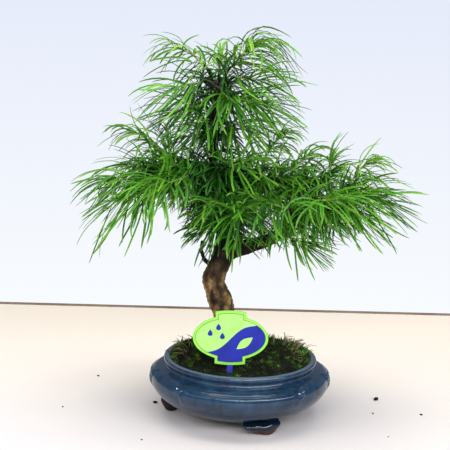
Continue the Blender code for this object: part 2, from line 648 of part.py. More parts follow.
def make_sprays(green, young_green):
    rng = random.Random(SEED)
    room = Room()
    for line in (TRUNK, *BOUGHS.values(), *STUBS):
        for a, b in zip(line, line[1:]):
            room.add([a[:3], b[:3]], BARK_ROOM * max(a[3], b[3]), "wood")
    for shoot in SHOOTS:
        room.add([p[:3] for p in twig_line(shoot)], TWIG_ROOT_R, "wood")
        room.add([shoot.base, shoot.tip], STEM_R, shoot.name)
    for shoot in SHOOTS:
        stem = object_from(f"spray_{shoot.name}", lambda bm: add_loft(bm, rings_along(
            [(*shoot.base, STEM_R), (*shoot.tip, STEM_R * STEM_TAPER)], STEM_SIDES)))
        width = NEEDLE_W * (YOUNG_WIDTH if shoot.young else 1.0)
        needles = []
        for i in range(shoot.needles):
            for attempt in range(TRIES):
                line = draw_needle(shoot, i, rng, min(1.0, STRAY_FIRST + attempt / STRAY_TRIES))
                if room.clear(line, width / 2, shoot.name):
                    room.add(line, width / 2, shoot.name)
                    needles.append(needle_object(line, width))
                    break
        combine(stem, needles, "UNION")
        finish(stem, young_green if shoot.young else green)


def main():
    clear_scene()
    glaze = new_material("blue_glaze", (0.075, 0.16, 0.25), 0.12)
    earth = new_material("dark_soil", (0.03, 0.02, 0.012), 0.95)
    green = new_material("moss_green", (0.06, 0.11, 0.02), 0.95)
    plastic = new_material("label_plastic", (0.45, 0.85, 0.12), 0.4)
    black = new_material("black_plastic", (0.02, 0.02, 0.02), 0.6)
    brown = new_material("bark", (0.17, 0.11, 0.06), 0.9)
    needle = new_material("needles", (0.09, 0.32, 0.03), 0.5)
    young = new_material("young_needles", (0.2, 0.5, 0.06), 0.5)
    make_pot(glaze)
    make_soil(earth)
    make_moss(green)
    make_drainage_mesh(black)
    make_label(plastic)
    make_wood(brown)
    make_sprays(needle, young)


main()
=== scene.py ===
# %% [markdown]
# # A golden larch bonsai in a blue glazed pot
# This lesson dresses a finished construction model of a small potted tree. The model has
# the pot, the soil, the moss, a plant label, the wood and 49 sprays of needles, all at
# their real size. Here each of them gets the fine shape and the finish of the real thing.
# Everything is in metres, with Z up. The tree faces -Y, and it stands on the origin.

# %% Load the frame
import json
import math
import random
from collections import namedtuple

import bmesh
import bpy
import numpy as np
from mathutils import Matrix, Vector

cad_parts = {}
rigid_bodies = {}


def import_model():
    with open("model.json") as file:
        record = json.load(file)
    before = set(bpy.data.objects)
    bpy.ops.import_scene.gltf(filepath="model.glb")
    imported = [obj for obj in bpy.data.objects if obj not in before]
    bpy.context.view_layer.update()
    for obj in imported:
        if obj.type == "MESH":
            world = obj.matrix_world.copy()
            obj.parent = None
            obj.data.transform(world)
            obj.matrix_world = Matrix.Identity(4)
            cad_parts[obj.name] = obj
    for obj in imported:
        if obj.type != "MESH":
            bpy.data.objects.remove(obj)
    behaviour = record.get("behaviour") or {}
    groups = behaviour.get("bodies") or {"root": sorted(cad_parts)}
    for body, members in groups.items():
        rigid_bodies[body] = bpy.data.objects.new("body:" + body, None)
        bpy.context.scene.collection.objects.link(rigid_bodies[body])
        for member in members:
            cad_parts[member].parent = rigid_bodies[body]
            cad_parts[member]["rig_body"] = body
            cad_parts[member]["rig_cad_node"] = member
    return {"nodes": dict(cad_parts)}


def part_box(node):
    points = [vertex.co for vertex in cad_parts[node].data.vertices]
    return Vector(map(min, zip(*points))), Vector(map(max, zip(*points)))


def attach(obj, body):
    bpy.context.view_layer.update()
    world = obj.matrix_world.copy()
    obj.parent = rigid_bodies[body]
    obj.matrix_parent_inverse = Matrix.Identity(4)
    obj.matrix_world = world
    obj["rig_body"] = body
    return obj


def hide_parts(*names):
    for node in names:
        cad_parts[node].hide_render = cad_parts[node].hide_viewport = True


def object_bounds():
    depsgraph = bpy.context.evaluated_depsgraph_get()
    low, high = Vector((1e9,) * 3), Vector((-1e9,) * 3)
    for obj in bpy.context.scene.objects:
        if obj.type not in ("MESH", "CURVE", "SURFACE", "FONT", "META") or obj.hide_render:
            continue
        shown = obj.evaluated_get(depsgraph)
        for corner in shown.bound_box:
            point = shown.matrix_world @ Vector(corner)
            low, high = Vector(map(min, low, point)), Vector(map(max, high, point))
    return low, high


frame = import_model()
cad_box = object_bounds()
MM = 0.001
UP = Vector((0, 0, 1))
print("construction model, mm:", [round(x / MM, 1) for x in cad_box[1] - cad_box[0]])

# %% [markdown]
# ## Small helpers
# Blender's operators act on whatever is selected, and loading the frame leaves all of it
# selected. So every step starts by selecting just the object that it works on, and inside
# edit mode the faces or edges are picked by where they are.

# %% Select, edit and finish an object


def pick(*objects):
    """Selects only these objects, and makes the last of them the active one."""
    if bpy.context.object and bpy.context.object.mode != "OBJECT":
        bpy.ops.object.mode_set(mode="OBJECT")
    bpy.ops.object.select_all(action="DESELECT")
    for obj in objects:
        obj.select_set(True)
        bpy.context.view_layer.objects.active = obj


def named(name):
    """Names the object that an operator has just added."""
    obj = bpy.context.object
    obj.name = name
    obj.data.name = name
    return obj


def edit(obj):
    pick(obj)
    bpy.ops.object.mode_set(mode="EDIT")
    bpy.ops.mesh.select_all(action="SELECT")


def done():
    bpy.ops.object.mode_set(mode="OBJECT")


def done_outwards():
    """Points every face outwards, and leaves edit mode."""
    bpy.ops.mesh.select_all(action="SELECT")
    bpy.ops.mesh.normals_make_consistent(inside=False)
    done()


def extrude(x, y, z):
    """In edit mode, extrudes what is selected by this much."""
    bpy.ops.mesh.extrude_region_move(TRANSFORM_OT_translate={"value": (x, y, z)})


def widen(factor_x, factor_y, middle_x=0.0):
    """In edit mode, makes the selected ring wider or narrower about the Z axis or one beside it."""
    bpy.ops.transform.resize(value=(factor_x, factor_y, 1), center_override=(middle_x, 0, 0))


def select_faces(obj, test):
    """In edit mode, selects the faces whose centre and normal pass a test."""
    bpy.ops.mesh.select_all(action="DESELECT")
    bpy.ops.mesh.select_mode(type="FACE")
    mesh = bmesh.from_edit_mesh(obj.data)
    for face in mesh.faces:
        face.select_set(test(face.calc_center_median(), face.normal))
    bmesh.update_edit_mesh(obj.data)


def add_modifier(obj, kind, **settings):
    """Adds a modifier with its settings, and applies it."""
    pick(obj)
    modifier = obj.modifiers.new(kind.title(), kind)
    for key, value in settings.items():
        setattr(modifier, key, value)
    bpy.ops.object.modifier_apply(modifier=modifier.name)


def settle(obj):
    """Puts an object's place, turn and size into its mesh, so that the object is at the origin."""
    pick(obj)
    bpy.ops.object.transform_apply(location=True, rotation=True, scale=True)


def smooth(obj, degrees):
    pick(obj)
    bpy.ops.object.shade_smooth_by_angle(angle=math.radians(degrees))


def triangles(obj):
    return sum(len(face.vertices) - 2 for face in obj.data.polygons)


def hand_in(obj, material, slot, *nodes):
    """Gives a finished piece its material, attaches it to the root, and hides the construction nodes that it
    stands for. Its slot is not used.
    """
    obj.data.materials.clear()
    obj.data.materials.append(material)
    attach(obj, "root")
    if nodes:
        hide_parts(*nodes)
    print(obj.name, triangles(obj), "triangles")


# %% [markdown]
# ## Helpers for materials
# A material starts from what the real surface is. Colours are written as the hex values
# that a colour picker shows, and one function turns them into the linear values that the
# shader needs. Each pattern gets its scale from a real size in millimetres. One function
# adds a node, sets it up, links it and returns its output, for materials and for the world.

# %% Colours and nodes


def colour(hex_value, alpha=1.0):
    """An sRGB hex colour as linear red, green, blue and alpha."""
    channels = [int(hex_value[i:i + 2], 16) / 255 for i in (1, 3, 5)]
    linear = [c / 12.92 if c <= 0.04045 else ((c + 0.055) / 1.055) ** 2.4 for c in channels]
    return (*linear, alpha)


def per_mm(size_mm):
    """The scale of a pattern whose blotches or cells are about this size."""
    return 1 / (size_mm * MM)


def add_node(owner, kind, links=None, out=None, stops=(), **settings):
    """Adds a shader node, and returns the output that is named or its first one in use.
    Settings are the node's own options. Links fill its inputs with another node's output or
    with a plain value, and stops are a colour ramp's places from 0 to 1 and hex colours."""
    node = owner.node_tree.nodes.new("ShaderNode" + kind)
    for key, value in settings.items():
        setattr(node, key, value)
    for name, value in (links or {}).items():
        if isinstance(value, bpy.types.NodeSocket):
            connect(owner, value, node, name)
        else:
            node.inputs[name].default_value = value
    if stops:
        while len(node.color_ramp.elements) < len(stops):
            node.color_ramp.elements.new(0.5)
        for element, (place, hex_value) in zip(node.color_ramp.elements, stops):
            element.position = place
            element.color = colour(hex_value)
    return node.outputs[out] if out else next(socket for socket in node.outputs if socket.enabled)


def connect(owner, output, node, name):
    owner.node_tree.links.new(output, node.inputs[name])


# %% Whole materials


def new_material(name, **fixed):
    """A material and its main shader, whose uniform values are set on its own sockets."""
    material = bpy.data.materials.new(name)
    material.use_nodes = True
    shader = material.node_tree.nodes["Principled BSDF"]
    for key, value in fixed.items():
        shader.inputs[key.replace("_", " ")].default_value = value
    print("material:", name)
    return material, shader


def surface(material, shader, tone, height=None, depth_mm=0.0):
    """Links a finished colour to the main shader, and a height as a relief of this depth."""
    connect(material, tone, shader, "Base Color")
    if height is not None:
        relief = add_node(material, "Bump", {"Height": height, "Distance": depth_mm * MM, "Strength": 1.0})
        connect(material, relief, shader, "Normal")


def mottled(name, blotches, stops, relief=None, **fixed):
    """A material of a few shades in soft blotches, with a fine relief. Blotches are a size
    in millimetres and a detail, and relief is the same and a depth in millimetres."""
    material, shader = new_material(name, **fixed)
    place = add_node(material, "TexCoord", out="Object")
    size, detail = blotches
    patches = add_node(material, "TexNoise", {"Vector": place, "Scale": per_mm(size), "Detail": detail})
    tone = add_node(material, "ValToRGB", {"Fac": patches}, stops=stops)
    height = None
    depth = 0.0
    if relief:
        size, detail, depth = relief
        height = add_node(material, "TexNoise", {"Vector": place, "Scale": per_mm(size), "Detail": detail})
    surface(material, shader, tone, height, depth)
    return material


def scenery(obj, material):
    """Finishes a piece of the surroundings, which is not part of the object."""
    settle(obj)
    obj.data.materials.append(material)


# %% [markdown]
# ## Camera, floor and light
# The photograph looks a little down on the tree from about a metre away, with the camera
# turned slightly anticlockwise. A long lens at that distance gives the same mild
# perspective. The tree stands on a pale table in front of a nearly white wall, in soft
# daylight from above. The wall is only the world's colour, so it hides nothing from behind.
# Three windows light the tree. A fourth, long and low, only shows in gloss, where it draws
# the bright line along the pot's belly.

# %% Camera
CAMERA_AT = Vector((-19.3, -1100, 399.9)) * MM
LOOK_DOWN = math.radians(10.3)
ROLL = math.radians(1.5)

bpy.ops.object.camera_add()
camera = bpy.context.object
camera.name = "camera"
camera.data.sensor_width = 36
camera.data.lens = 88
turned = Matrix.Rotation(math.radians(90) - LOOK_DOWN, 4, "X") @ Matrix.Rotation(ROLL, 4, "Z")
camera.matrix_world = Matrix.Translation(CAMERA_AT) @ turned
bpy.context.scene.camera = camera
print("camera at, mm:", [round(x / MM) for x in CAMERA_AT])

# %% Table top
TABLE_BACK_Y = 423 * MM
TABLE_SIDE = 2.6
EDGE_HEIGHT = 2.4 * MM
EDGE_DEPTH = 4 * MM

# Varnish makes the wood smooth and only half dull. Its colour carries painted light and shade: greyer and
# cooler in front, warmer towards the wall.
birch, shader = new_material("pale_varnished_birch", Roughness=0.6)
place = add_node(birch, "TexCoord", out="Object")
depth = add_node(birch, "SeparateXYZ", {"Vector": place}, out="Y")
towards_wall = add_node(birch, "MapRange", {"Value": depth, "From Min": -0.25, "From Max": 0.4,
                                            "To Max": 0.8})
figure = add_node(birch, "TexNoise", {"Vector": place, "Scale": per_mm(160), "Detail": 3.0})
blotches = add_node(birch, "Math", {0: figure, 1: 0.2}, operation="MULTIPLY")
painted_light_and_figure = add_node(birch, "Math", {0: towards_wall, 1: blotches}, operation="ADD")
tone = add_node(birch, "ValToRGB", {"Fac": painted_light_and_figure},
                stops=((0.05, "#DEDCE4"), (0.35, "#F2ECE8"), (0.85, "#FFF4E2")))
surface(birch, shader, tone)

bpy.ops.mesh.primitive_plane_add(size=TABLE_SIDE, location=(0, TABLE_BACK_Y - TABLE_SIDE / 2, 0))
scenery(named("table_top"), birch)

# %% A painted shadow along the table's back edge
# A dark band at the table's back edge is a painted shadow: the thin dark line where the table meets the wall.
shadow_line_tone = mottled("painted_shadow_band", (60, 4.0), ((0.3, "#6B5A50"), (0.7, "#8A7A6E")), Roughness=0.8)
bpy.ops.mesh.primitive_cube_add(size=1)
band = named("painted_shadow_line")
band.scale = (TABLE_SIDE, EDGE_DEPTH, EDGE_HEIGHT)
band.location = (0, TABLE_BACK_Y + EDGE_DEPTH / 2, EDGE_HEIGHT / 2)
scenery(band, shadow_line_tone)

# %% The wall's light
WALL_LIGHT = 0.37

world = bpy.data.worlds.new("pale_wall")
bpy.context.scene.world = world
bpy.context.scene.view_settings.view_transform = "Standard"
world.use_nodes = True
background = world.node_tree.nodes["Background"]
# The wall is whitest low down, and turns a little bluer with height.
direction = add_node(world, "TexCoord", out="Generated")
height = add_node(world, "SeparateXYZ", {"Vector": direction}, out="Z")
climb = add_node(world, "MapRange", {"Value": height, "From Min": -0.25, "From Max": 0.05})
wall_tone = add_node(world, "Mix", {"Factor": climb, "A": colour("#F9FCFF"), "B": colour("#E4EAFA")},
                     data_type="RGBA")
# It shows at full brightness, and lights the tree a good deal less than that, and bluer.
in_view = add_node(world, "LightPath", out="Is Camera Ray")
room_tone = add_node(world, "Mix", {"Factor": in_view, "A": colour("#D2DEFA"), "B": wall_tone},
                     data_type="RGBA")
strength = add_node(world, "MapRange", {"Value": in_view, "To Min": WALL_LIGHT})
connect(world, room_tone, background, "Color")
connect(world, strength, background, "Strength")
print("wall lights the tree at", WALL_LIGHT)

# %% Four windows
# Their width and height are in metres, and their power in watts.
Lamp = namedtuple("Lamp", "name place width height power hue")
LAMPS = [
    Lamp("window_above", (0.0, -0.15, 1.8), 1.8, 1.2, 26, "#FFF8EA"),
    Lamp("window_front", (0.35, -1.5, 0.9), 2.8, 0.15, 32, "#FCFBFF"),
    Lamp("window_side", (-1.3, -1.0, 0.9), 1.0, 1.0, 5, "#FFFCF6"),
    Lamp("window_glint", (0.75, -1.45, 1.05), 2.8, 0.22, 72, "#F2F7FF"),
]
LAMPS_AIM = Vector((0, 0, 0.15))
for lamp in LAMPS:
    bpy.ops.object.light_add(type="AREA", location=lamp.place)
    light = bpy.context.object
    light.name = lamp.name
    light.data.shape = "RECTANGLE"
    light.data.size = lamp.width
    light.data.size_y = lamp.height
    light.data.energy = lamp.power
    light.data.color = colour(lamp.hue)[:3]
    light.rotation_euler = (LAMPS_AIM - Vector(lamp.place)).to_track_quat("-Z", "Y").to_euler()
# The last one only shows in gloss.
light.visible_diffuse = False
print(len(LAMPS), "lamps")

# %% [markdown]
# ## The glaze
# The pot is stoneware under a glossy blue-grey glaze, fired so that it ran a little: it is
# darker where it pooled, and it breaks to rust brown on the lip and at the feet. Its very
# edge is painted pale, as thin glaze and as a painted highlight, and it is painted a deeper
# blue below the belly as painted shade. Glaze is glass, so the coat is smooth and not
# metallic. Glass has an IOR near 1.5, and 1.43 matches the soft shine of this one. Streaks
# that run downwards come from noise that is drawn out in height.

# %% Glazed stoneware
glaze, shader = new_material("glazed_stoneware", IOR=1.43)
place = add_node(glaze, "TexCoord", out="Object")
across = add_node(glaze, "SeparateXYZ", {"Vector": place}, out="X")
height = add_node(glaze, "SeparateXYZ", {"Vector": place}, out="Z")
runs = add_node(glaze, "Mapping", {"Vector": place, "Scale": (1.0, 1.0, 0.25)})
pools = add_node(glaze, "TexNoise", {"Vector": place, "Scale": per_mm(26), "Detail": 5.0})
body_blue = add_node(glaze, "ValToRGB", {"Fac": pools},
                     stops=((0.3, "#13263B"), (0.47, "#17314A"), (0.6, "#20415A"), (0.76, "#162F46")))
streaks = add_node(glaze, "TexNoise", {"Vector": runs, "Scale": per_mm(7), "Detail": 4.0})
streak_blue = add_node(glaze, "ValToRGB", {"Fac": streaks}, stops=((0.35, "#0E1B2A"), (0.62, "#2C4861")))
tone = add_node(glaze, "Mix", {"Factor": 0.35, "A": body_blue, "B": streak_blue}, data_type="RGBA")

# %% Rust, a painted highlight on the rim, and painted shade below the belly
# Worn spots of rust near the lip, a pale rim on its very edge that is thin glaze and a painted highlight, and
# painted shade, a deeper blue, below the belly.
spots = add_node(glaze, "TexNoise", {"Vector": place, "Scale": per_mm(9), "Detail": 6.0})
worn = add_node(glaze, "MapRange", {"Value": spots, "From Min": 0.66, "From Max": 0.74})
near_lip = add_node(glaze, "MapRange", {"Value": height, "From Min": 57 * MM, "From Max": 62 * MM})
rust = add_node(glaze, "Math", {0: worn, 1: near_lip}, operation="MULTIPLY")
thin_glaze_and_highlight = add_node(glaze, "MapRange", {"Value": height, "From Min": 62.6 * MM, "From Max": 63.4 * MM,
                                    "To Max": 0.55})
painted_shade_below = add_node(glaze, "MapRange", {"Value": height, "From Min": 44 * MM, "From Max": 15 * MM,
                                     "To Max": 0.85})
for share, hex_value in ((rust, "#6B4238"), (thin_glaze_and_highlight, "#75899C"), (painted_shade_below, "#060D17")):
    tone = add_node(glaze, "Mix", {"Factor": share, "A": tone, "B": colour(hex_value)}, data_type="RGBA")
print("glaze:", len(glaze.node_tree.nodes), "nodes")

# %% Bare clay on the feet
# Red clay is bare under a wavy line on the feet. The left foot was wiped clean of glaze
# higher up than the others, and its clay is painted nearly black as painted shade.
waves = add_node(glaze, "TexNoise", {"Vector": place, "Scale": per_mm(8), "Detail": 3.0})
foot_waves = add_node(glaze, "Math", {0: waves, 1: 5 * MM}, operation="MULTIPLY")
glazed_down_to = add_node(glaze, "Math", {0: height, 1: foot_waves}, operation="SUBTRACT")
wiped = add_node(glaze, "MapRange", {"Value": across, "From Min": -60 * MM, "From Max": -66 * MM,
                                     "To Max": 9 * MM})
clay_line = add_node(glaze, "Math", {0: glazed_down_to, 1: wiped}, operation="SUBTRACT")
bare = add_node(glaze, "MapRange", {"Value": clay_line, "From Min": 4.4 * MM, "From Max": 3.2 * MM})
grog = add_node(glaze, "TexNoise", {"Vector": place, "Scale": per_mm(1.5), "Detail": 4.0})
red_clay = add_node(glaze, "ValToRGB", {"Fac": grog}, stops=((0.3, "#1A100D"), (0.7, "#5A2C1B")))
painted_shade_left_foot = add_node(glaze, "MapRange", {"Value": across, "From Min": -58 * MM, "From Max": -64 * MM,
                                      "To Max": 0.8})
clay = add_node(glaze, "Mix", {"Factor": painted_shade_left_foot, "A": red_clay, "B": colour("#140C09")}, data_type="RGBA")
tone = add_node(glaze, "Mix", {"Factor": bare, "A": tone, "B": clay}, data_type="RGBA")
print("glaze:", len(glaze.node_tree.nodes), "nodes")

# %% Gloss and ripples
# The coat mirrors less under the belly and more on the feet, and bare clay is dull.
dull = add_node(glaze, "MapRange", {"Value": height, "From Min": 34 * MM, "From Max": 20 * MM,
                                    "To Min": 0.5, "To Max": 0.09})
foot_gloss = add_node(glaze, "MapRange", {"Value": height, "From Min": 13.5 * MM, "From Max": 12 * MM,
                                          "To Max": 0.4})
shine = add_node(glaze, "Math", {0: dull, 1: foot_gloss}, operation="ADD")
gloss = add_node(glaze, "MapRange", {"Value": bare, "To Min": 0.05, "To Max": 0.8})
ripples = add_node(glaze, "TexNoise", {"Vector": place, "Scale": per_mm(7), "Detail": 2.0})
connect(glaze, shine, shader, "Specular IOR Level")
connect(glaze, gloss, shader, "Roughness")
surface(glaze, shader, tone, ripples, 0.14)
print("glaze:", len(glaze.node_tree.nodes), "nodes")

# %% [markdown]
# ## The pot
# The real pot was thrown on a wheel, so one ring of points is drawn and then extruded again
# and again, each time to the next radius and height of its wall. It goes up the outside,
# over the lip and down the inside. A Subdivision modifier makes the wall run smoothly
# between the rings, and where two rings stand close together the edge stays crisp.

# %% Turn the pot's wall
POT_SIDES = 96
# Radius and height in millimetres, up the outside from the drainage hole.
POT_OUTSIDE = [(9.7, 12), (40, 12), (60, 12), (67.5, 14.4), (73, 17.0), (77.8, 19.8), (82, 22.8),
               (85.7, 26.2), (88.5, 29.6), (90.7, 33.2), (92.0, 36.5), (92.6, 39.8), (92.4, 43),
               (91.6, 46), (90.3, 48.6), (87.5, 50.6), (84, 51.8), (80.5, 52.5), (78, 53.2),
               (76.9, 54.4), (76.8, 56), (77.2, 57.4), (78.4, 58.4), (79.1, 59.8), (79.1, 61.6),
               (78.4, 63), (77, 63.6)]
POT_INSIDE = [(74, 63.6), (72.4, 62.6), (72, 61), (72, 54), (72.3, 51), (75.5, 47.9), (83.5, 42.8), (85, 38),
              (84.4, 33), (75, 24), (60, 18), (30, 18), (9.7, 18), (9.5, 17), (9.5, 13), (9.7, 12)]


def turn(name, profile, sides):
    """A ring that is extruded from one (radius, height) in millimetres to the next."""
    radius, low = profile[0]
    bpy.ops.mesh.primitive_circle_add(vertices=sides, radius=radius * MM, location=(0, 0, low * MM))
    obj = named(name)
    settle(obj)
    edit(obj)
    for r, z in profile[1:]:
        extrude(0, 0, (z - low) * MM)
        widen(r / radius, r / radius)
        radius, low = r, z
    bpy.ops.mesh.select_all(action="SELECT")
    bpy.ops.mesh.remove_doubles(threshold=0.01 * MM)
    done_outwards()
    return obj


pot = turn("glazed_pot", POT_OUTSIDE + POT_INSIDE, POT_SIDES)
add_modifier(pot, "SUBSURF", levels=2, render_levels=2)
print("wall:", triangles(pot), "triangles")

# %% [markdown]
# Three long panels are moulded on the pot's shoulder, each ending in a small scroll. A
# vertex group holds how high each point of the wall is raised, worked out from its place
# round the pot and its height, and a Displace modifier lifts the wall by it.

# %% Raise the three panels
PANEL_HALF = 64.0
PANEL_BOTTOM = 35.0
PANEL_TOP = 47.6
SCROLL_R = 6.0
SCROLL_Z = 46.2
SCROLL_GROOVE_R = 3.0
SCROLL_GROOVE_W = 0.9
SCROLL_LIFT = 4.0
SCROLL_LIFT_W = 7.0
SOFT_EDGE = 1.6
PANEL_RELIEF = 1.6
# Only this part of the wall can be raised.
WALL_R = 80.0
WALL_Z = (28.0, 53.5)


def rise(value, low, high):
    """0 below low, 1 above high, and a smooth step between them."""
    share = min(1.0, max(0.0, (value - low) / (high - low)))
    return share * share * (3 - 2 * share)


def panel_height(point):
    """Share of the relief at a point of the wall, in metres."""
    x, y, z = point / MM
    radius = math.hypot(x, y)
    if radius < WALL_R or not WALL_Z[0] <= z <= WALL_Z[1]:
        return 0.0
    turn_deg = math.degrees(math.atan2(y, x)) + 90
    along = abs((turn_deg + 60) % 120 - 60) * math.pi / 180 * radius
    to_scroll = math.hypot(along - PANEL_HALF, z - SCROLL_Z)
    scroll = rise(SCROLL_R - to_scroll, 0, SOFT_EDGE)
    band = 0.0
    if along <= PANEL_HALF:
        lift = SCROLL_LIFT * math.exp(-((along - PANEL_HALF) / SCROLL_LIFT_W) ** 2)
        band = rise(PANEL_TOP + lift - z, 0, SOFT_EDGE) * rise(z, PANEL_BOTTOM - 6, PANEL_BOTTOM + 7)
    groove = 0.0
    if along > PANEL_HALF - 5:
        groove = math.exp(-((to_scroll - SCROLL_GROOVE_R) / SCROLL_GROOVE_W) ** 2)
    return max(band, scroll) * (1 - 0.75 * groove)


relief = pot.vertex_groups.new(name="relief")
for vertex in pot.data.vertices:
    share = panel_height(vertex.co)
    if share > 0:
        relief.add([vertex.index], share, "REPLACE")
add_modifier(pot, "DISPLACE", vertex_group="relief", strength=PANEL_RELIEF * MM, mid_level=0.0)
smooth(pot, 60)
hand_in(pot, glaze, "blue_glaze", "pot")

# %% [markdown]
# Each foot is a cloud-shaped bracket that was pressed in a mould and stuck on before the
# pot was fired. It starts as a ring on the ground, spreads out to a broad pad and draws in
# again under the belly, and a slight waist between two of the steps scallops its edge.

# %% Three cloud feet
FOOT_FIRST_DEG = -70.0
FOOT_SHIFTS = (0.0, 0.0, 8.0)
FOOT_SIDES = 40
FOOT_ASIDE = 6.5
FOOT_LOBE = 1.8
FOOT_LOBE_W = 15.0
# Height, distance from the pot's axis, half width and half depth, in millimetres.
FOOT_LEVELS = [(0, 62.5, 5.4, 4.8), (0.5, 62.7, 6.6, 5.6), (2.4, 63.2, 9.6, 6.8), (4.4, 63.7, 13.2, 7.7),
               (6.6, 64.2, 17.0, 8.6), (8.8, 64.8, 19.6, 9.2), (10.8, 65.2, 20.2, 9.2),
               (12.4, 64.9, 19.6, 8.7), (13.6, 64.0, 18.6, 7.6), (15.6, 60.0, 17.0, 6.6),
               (18.0, 58.0, 16.0, 6.0)]


def cloud_foot(name, turn_deg, shift):
    low, out, half_w, half_d = FOOT_LEVELS[0]
    bpy.ops.mesh.primitive_circle_add(vertices=FOOT_SIDES, radius=MM, fill_type="NGON",
                                      location=(0, 0, low * MM))
    foot = named(name)
    settle(foot)
    edit(foot)
    widen(half_d, half_w)
    bpy.ops.transform.translate(value=(out * MM, 0, 0))
    for z, new_out, new_w, new_d in FOOT_LEVELS[1:]:
        extrude((new_out - out) * MM, 0, (z - low) * MM)
        widen(new_d / half_d, new_w / half_w, new_out * MM)
        low, out, half_w, half_d = z, new_out, new_w, new_d
    done_outwards()
    for vertex in foot.data.vertices:
        x, y, z = vertex.co / MM
        lobes = FOOT_LOBE * (math.sin(math.pi * y / FOOT_LOBE_W) ** 2 - 0.5) * rise(z, 4, 9) * rise(x, 63, 68)
        vertex.co += Vector((0.5 * lobes, 0, lobes)) * MM
        vertex.co.y += FOOT_ASIDE * MM * (1 - rise(z, 0, 8))
    add_modifier(foot, "SUBSURF", levels=2, render_levels=2)
    foot.location.x = shift * MM
    settle(foot)
    foot.rotation_euler.z = math.radians(turn_deg)
    settle(foot)
    smooth(foot, 50)
    return foot


for i, shift in enumerate(FOOT_SHIFTS):
    hand_in(cloud_foot(f"pot_foot_{i + 1}", FOOT_FIRST_DEG + 120 * i, shift), glaze, "blue_glaze")

# %% [markdown]
# ## The mesh over the drainage hole
# It is a small square of moulded black polythene that keeps the soil in. Its construction
# node already has the right shape, so it only gets a better material.

# %% Moulded polythene
# It is smooth and waxy, so it shines a little, and its fine relief comes from the mould.
polythene = mottled("black_polythene", (3, 4.0), ((0.3, "#141416"), (0.7, "#26262A")), (0.8, 4.0, 0.1),
                    Roughness=0.45)
drainage_mesh = frame["nodes"]["drainage_mesh"]
drainage_mesh.data.materials.clear()
drainage_mesh.data.materials.append(polythene)

# %% [markdown]
# ## Soil
# Bonsai soil is sieved grit and humus, nearly black when it is damp. It fills the pot, but
# it only shows in the narrow ring between the moss and the wall. A copy of the
# construction node keeps its fit in the pot. Its top is cut finer, roughened with a noise
# texture, and strewn with grains that are one small lump, copied over and over.

# %% Damp potting soil
# Wet humus is nearly black and swallows light, so it has almost no gloss.
soil_dark = mottled("damp_potting_soil", (2.2, 6.0), ((0.3, "#14100B"), (0.55, "#2B2117"), (0.75, "#4A3826")),
                    (1.2, 5.0, 0.8), Roughness=0.95, Specular_IOR_Level=0.1)

# %% Crumbs on the table
# Their place in millimetres, and their radius.
CRUMBS = [(-89, 24, 1.9), (151, 52, 2.6), (-185, 4, 0.9), (-160, 110, 1.1), (-95, -83, 0.8), (142, 8, 1.0),
          (193, 8, 1.2), (149, -58, 0.7)]
for i, (x, y, radius) in enumerate(CRUMBS):
    bpy.ops.mesh.primitive_ico_sphere_add(subdivisions=2, radius=radius * MM)
    crumb = named(f"crumb_{i + 1}")
    crumb.scale = (1.4, 0.9, 0.7)
    crumb.rotation_euler.z = i
    crumb.location = (x * MM, y * MM, 0.6 * radius * MM)
    scenery(crumb, soil_dark)
print(len(CRUMBS), "crumbs")

# %% The soil's own copy
SOIL_TOP_Z = 55.0
SOIL_ROUGH_Z = 56.5


def copy_node(node, name):
    """A copy of a construction node, with its loose triangles joined up again."""
    pick(frame["nodes"][node])
    bpy.ops.object.duplicate()
    obj = named(name)
    obj.parent = None
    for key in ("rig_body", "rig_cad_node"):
        if key in obj:
            del obj[key]
    edit(obj)
    bpy.ops.mesh.remove_doubles(threshold=0.005 * MM)
    done()
    return obj


def roughen(obj, size_mm, depth_mm, group):
    """Moves a group of an object's points in and out by a cloud texture of this size."""
    texture = bpy.data.textures.new(f"{obj.name}_clouds_{size_mm}", "CLOUDS")
    texture.noise_scale = size_mm * MM
    add_modifier(obj, "DISPLACE", texture=texture, texture_coords="LOCAL", strength=depth_mm * MM,
                 mid_level=0.5, vertex_group=group)


soil = copy_node("soil", "potting_soil")
edit(soil)
select_faces(soil, lambda centre, normal: normal.z > 0.5 and centre.z > SOIL_TOP_Z * MM)
bpy.ops.mesh.subdivide(number_cuts=3)
done()
top = soil.vertex_groups.new(name="top")
top.add([v.index for v in soil.data.vertices if v.co.z > SOIL_ROUGH_Z * MM], 1.0, "REPLACE")
roughen(soil, 3, 1.6, "top")
smooth(soil, 40)
hand_in(soil, soil_dark, "soil", "soil")

# %% Strewn copies of one small shape


def as_master(obj):
    """A small shape's points, and its faces as lists of point numbers. The object itself goes."""
    points = np.array([v.co for v in obj.data.vertices])
    faces = [list(face.vertices) for face in obj.data.polygons]
    print("one", obj.name, triangles(obj), "triangles")
    bpy.data.objects.remove(obj)
    return points, faces


def round_axis(radius, angle, z):
    """A place at this distance from the pot's axis, in this direction and at this height."""
    return Vector((radius * math.cos(angle), radius * math.sin(angle), z))


def stood(master, turned, size, spot):
    """The points of one copy of a master, turned, sized and moved to its spot."""
    return master[0] @ np.array(turned).T * size + np.array(spot)


def joined_copies(name, master, placed):
    """One object from many placed copies of a master. Each copy has its own points."""
    _, faces = master
    count = len(placed[0])
    points = np.concatenate(placed)
    all_faces = [[index + i * count for index in face] for i in range(len(placed)) for face in faces]
    mesh = bpy.data.meshes.new(name)
    mesh.from_pydata(points.tolist(), [], all_faces)
    obj = bpy.data.objects.new(name, mesh)
    bpy.context.scene.collection.objects.link(obj)
    return obj


def set_attribute(obj, name, values):
    """Stores one number per point, for a material to read."""
    obj.data.attributes.new(name, "FLOAT", "POINT").data.foreach_set("value", np.asarray(values, np.float32))


# %% Grit on the soil
GRAINS = 420
GRAIN_RING = (66.0, 71.0)
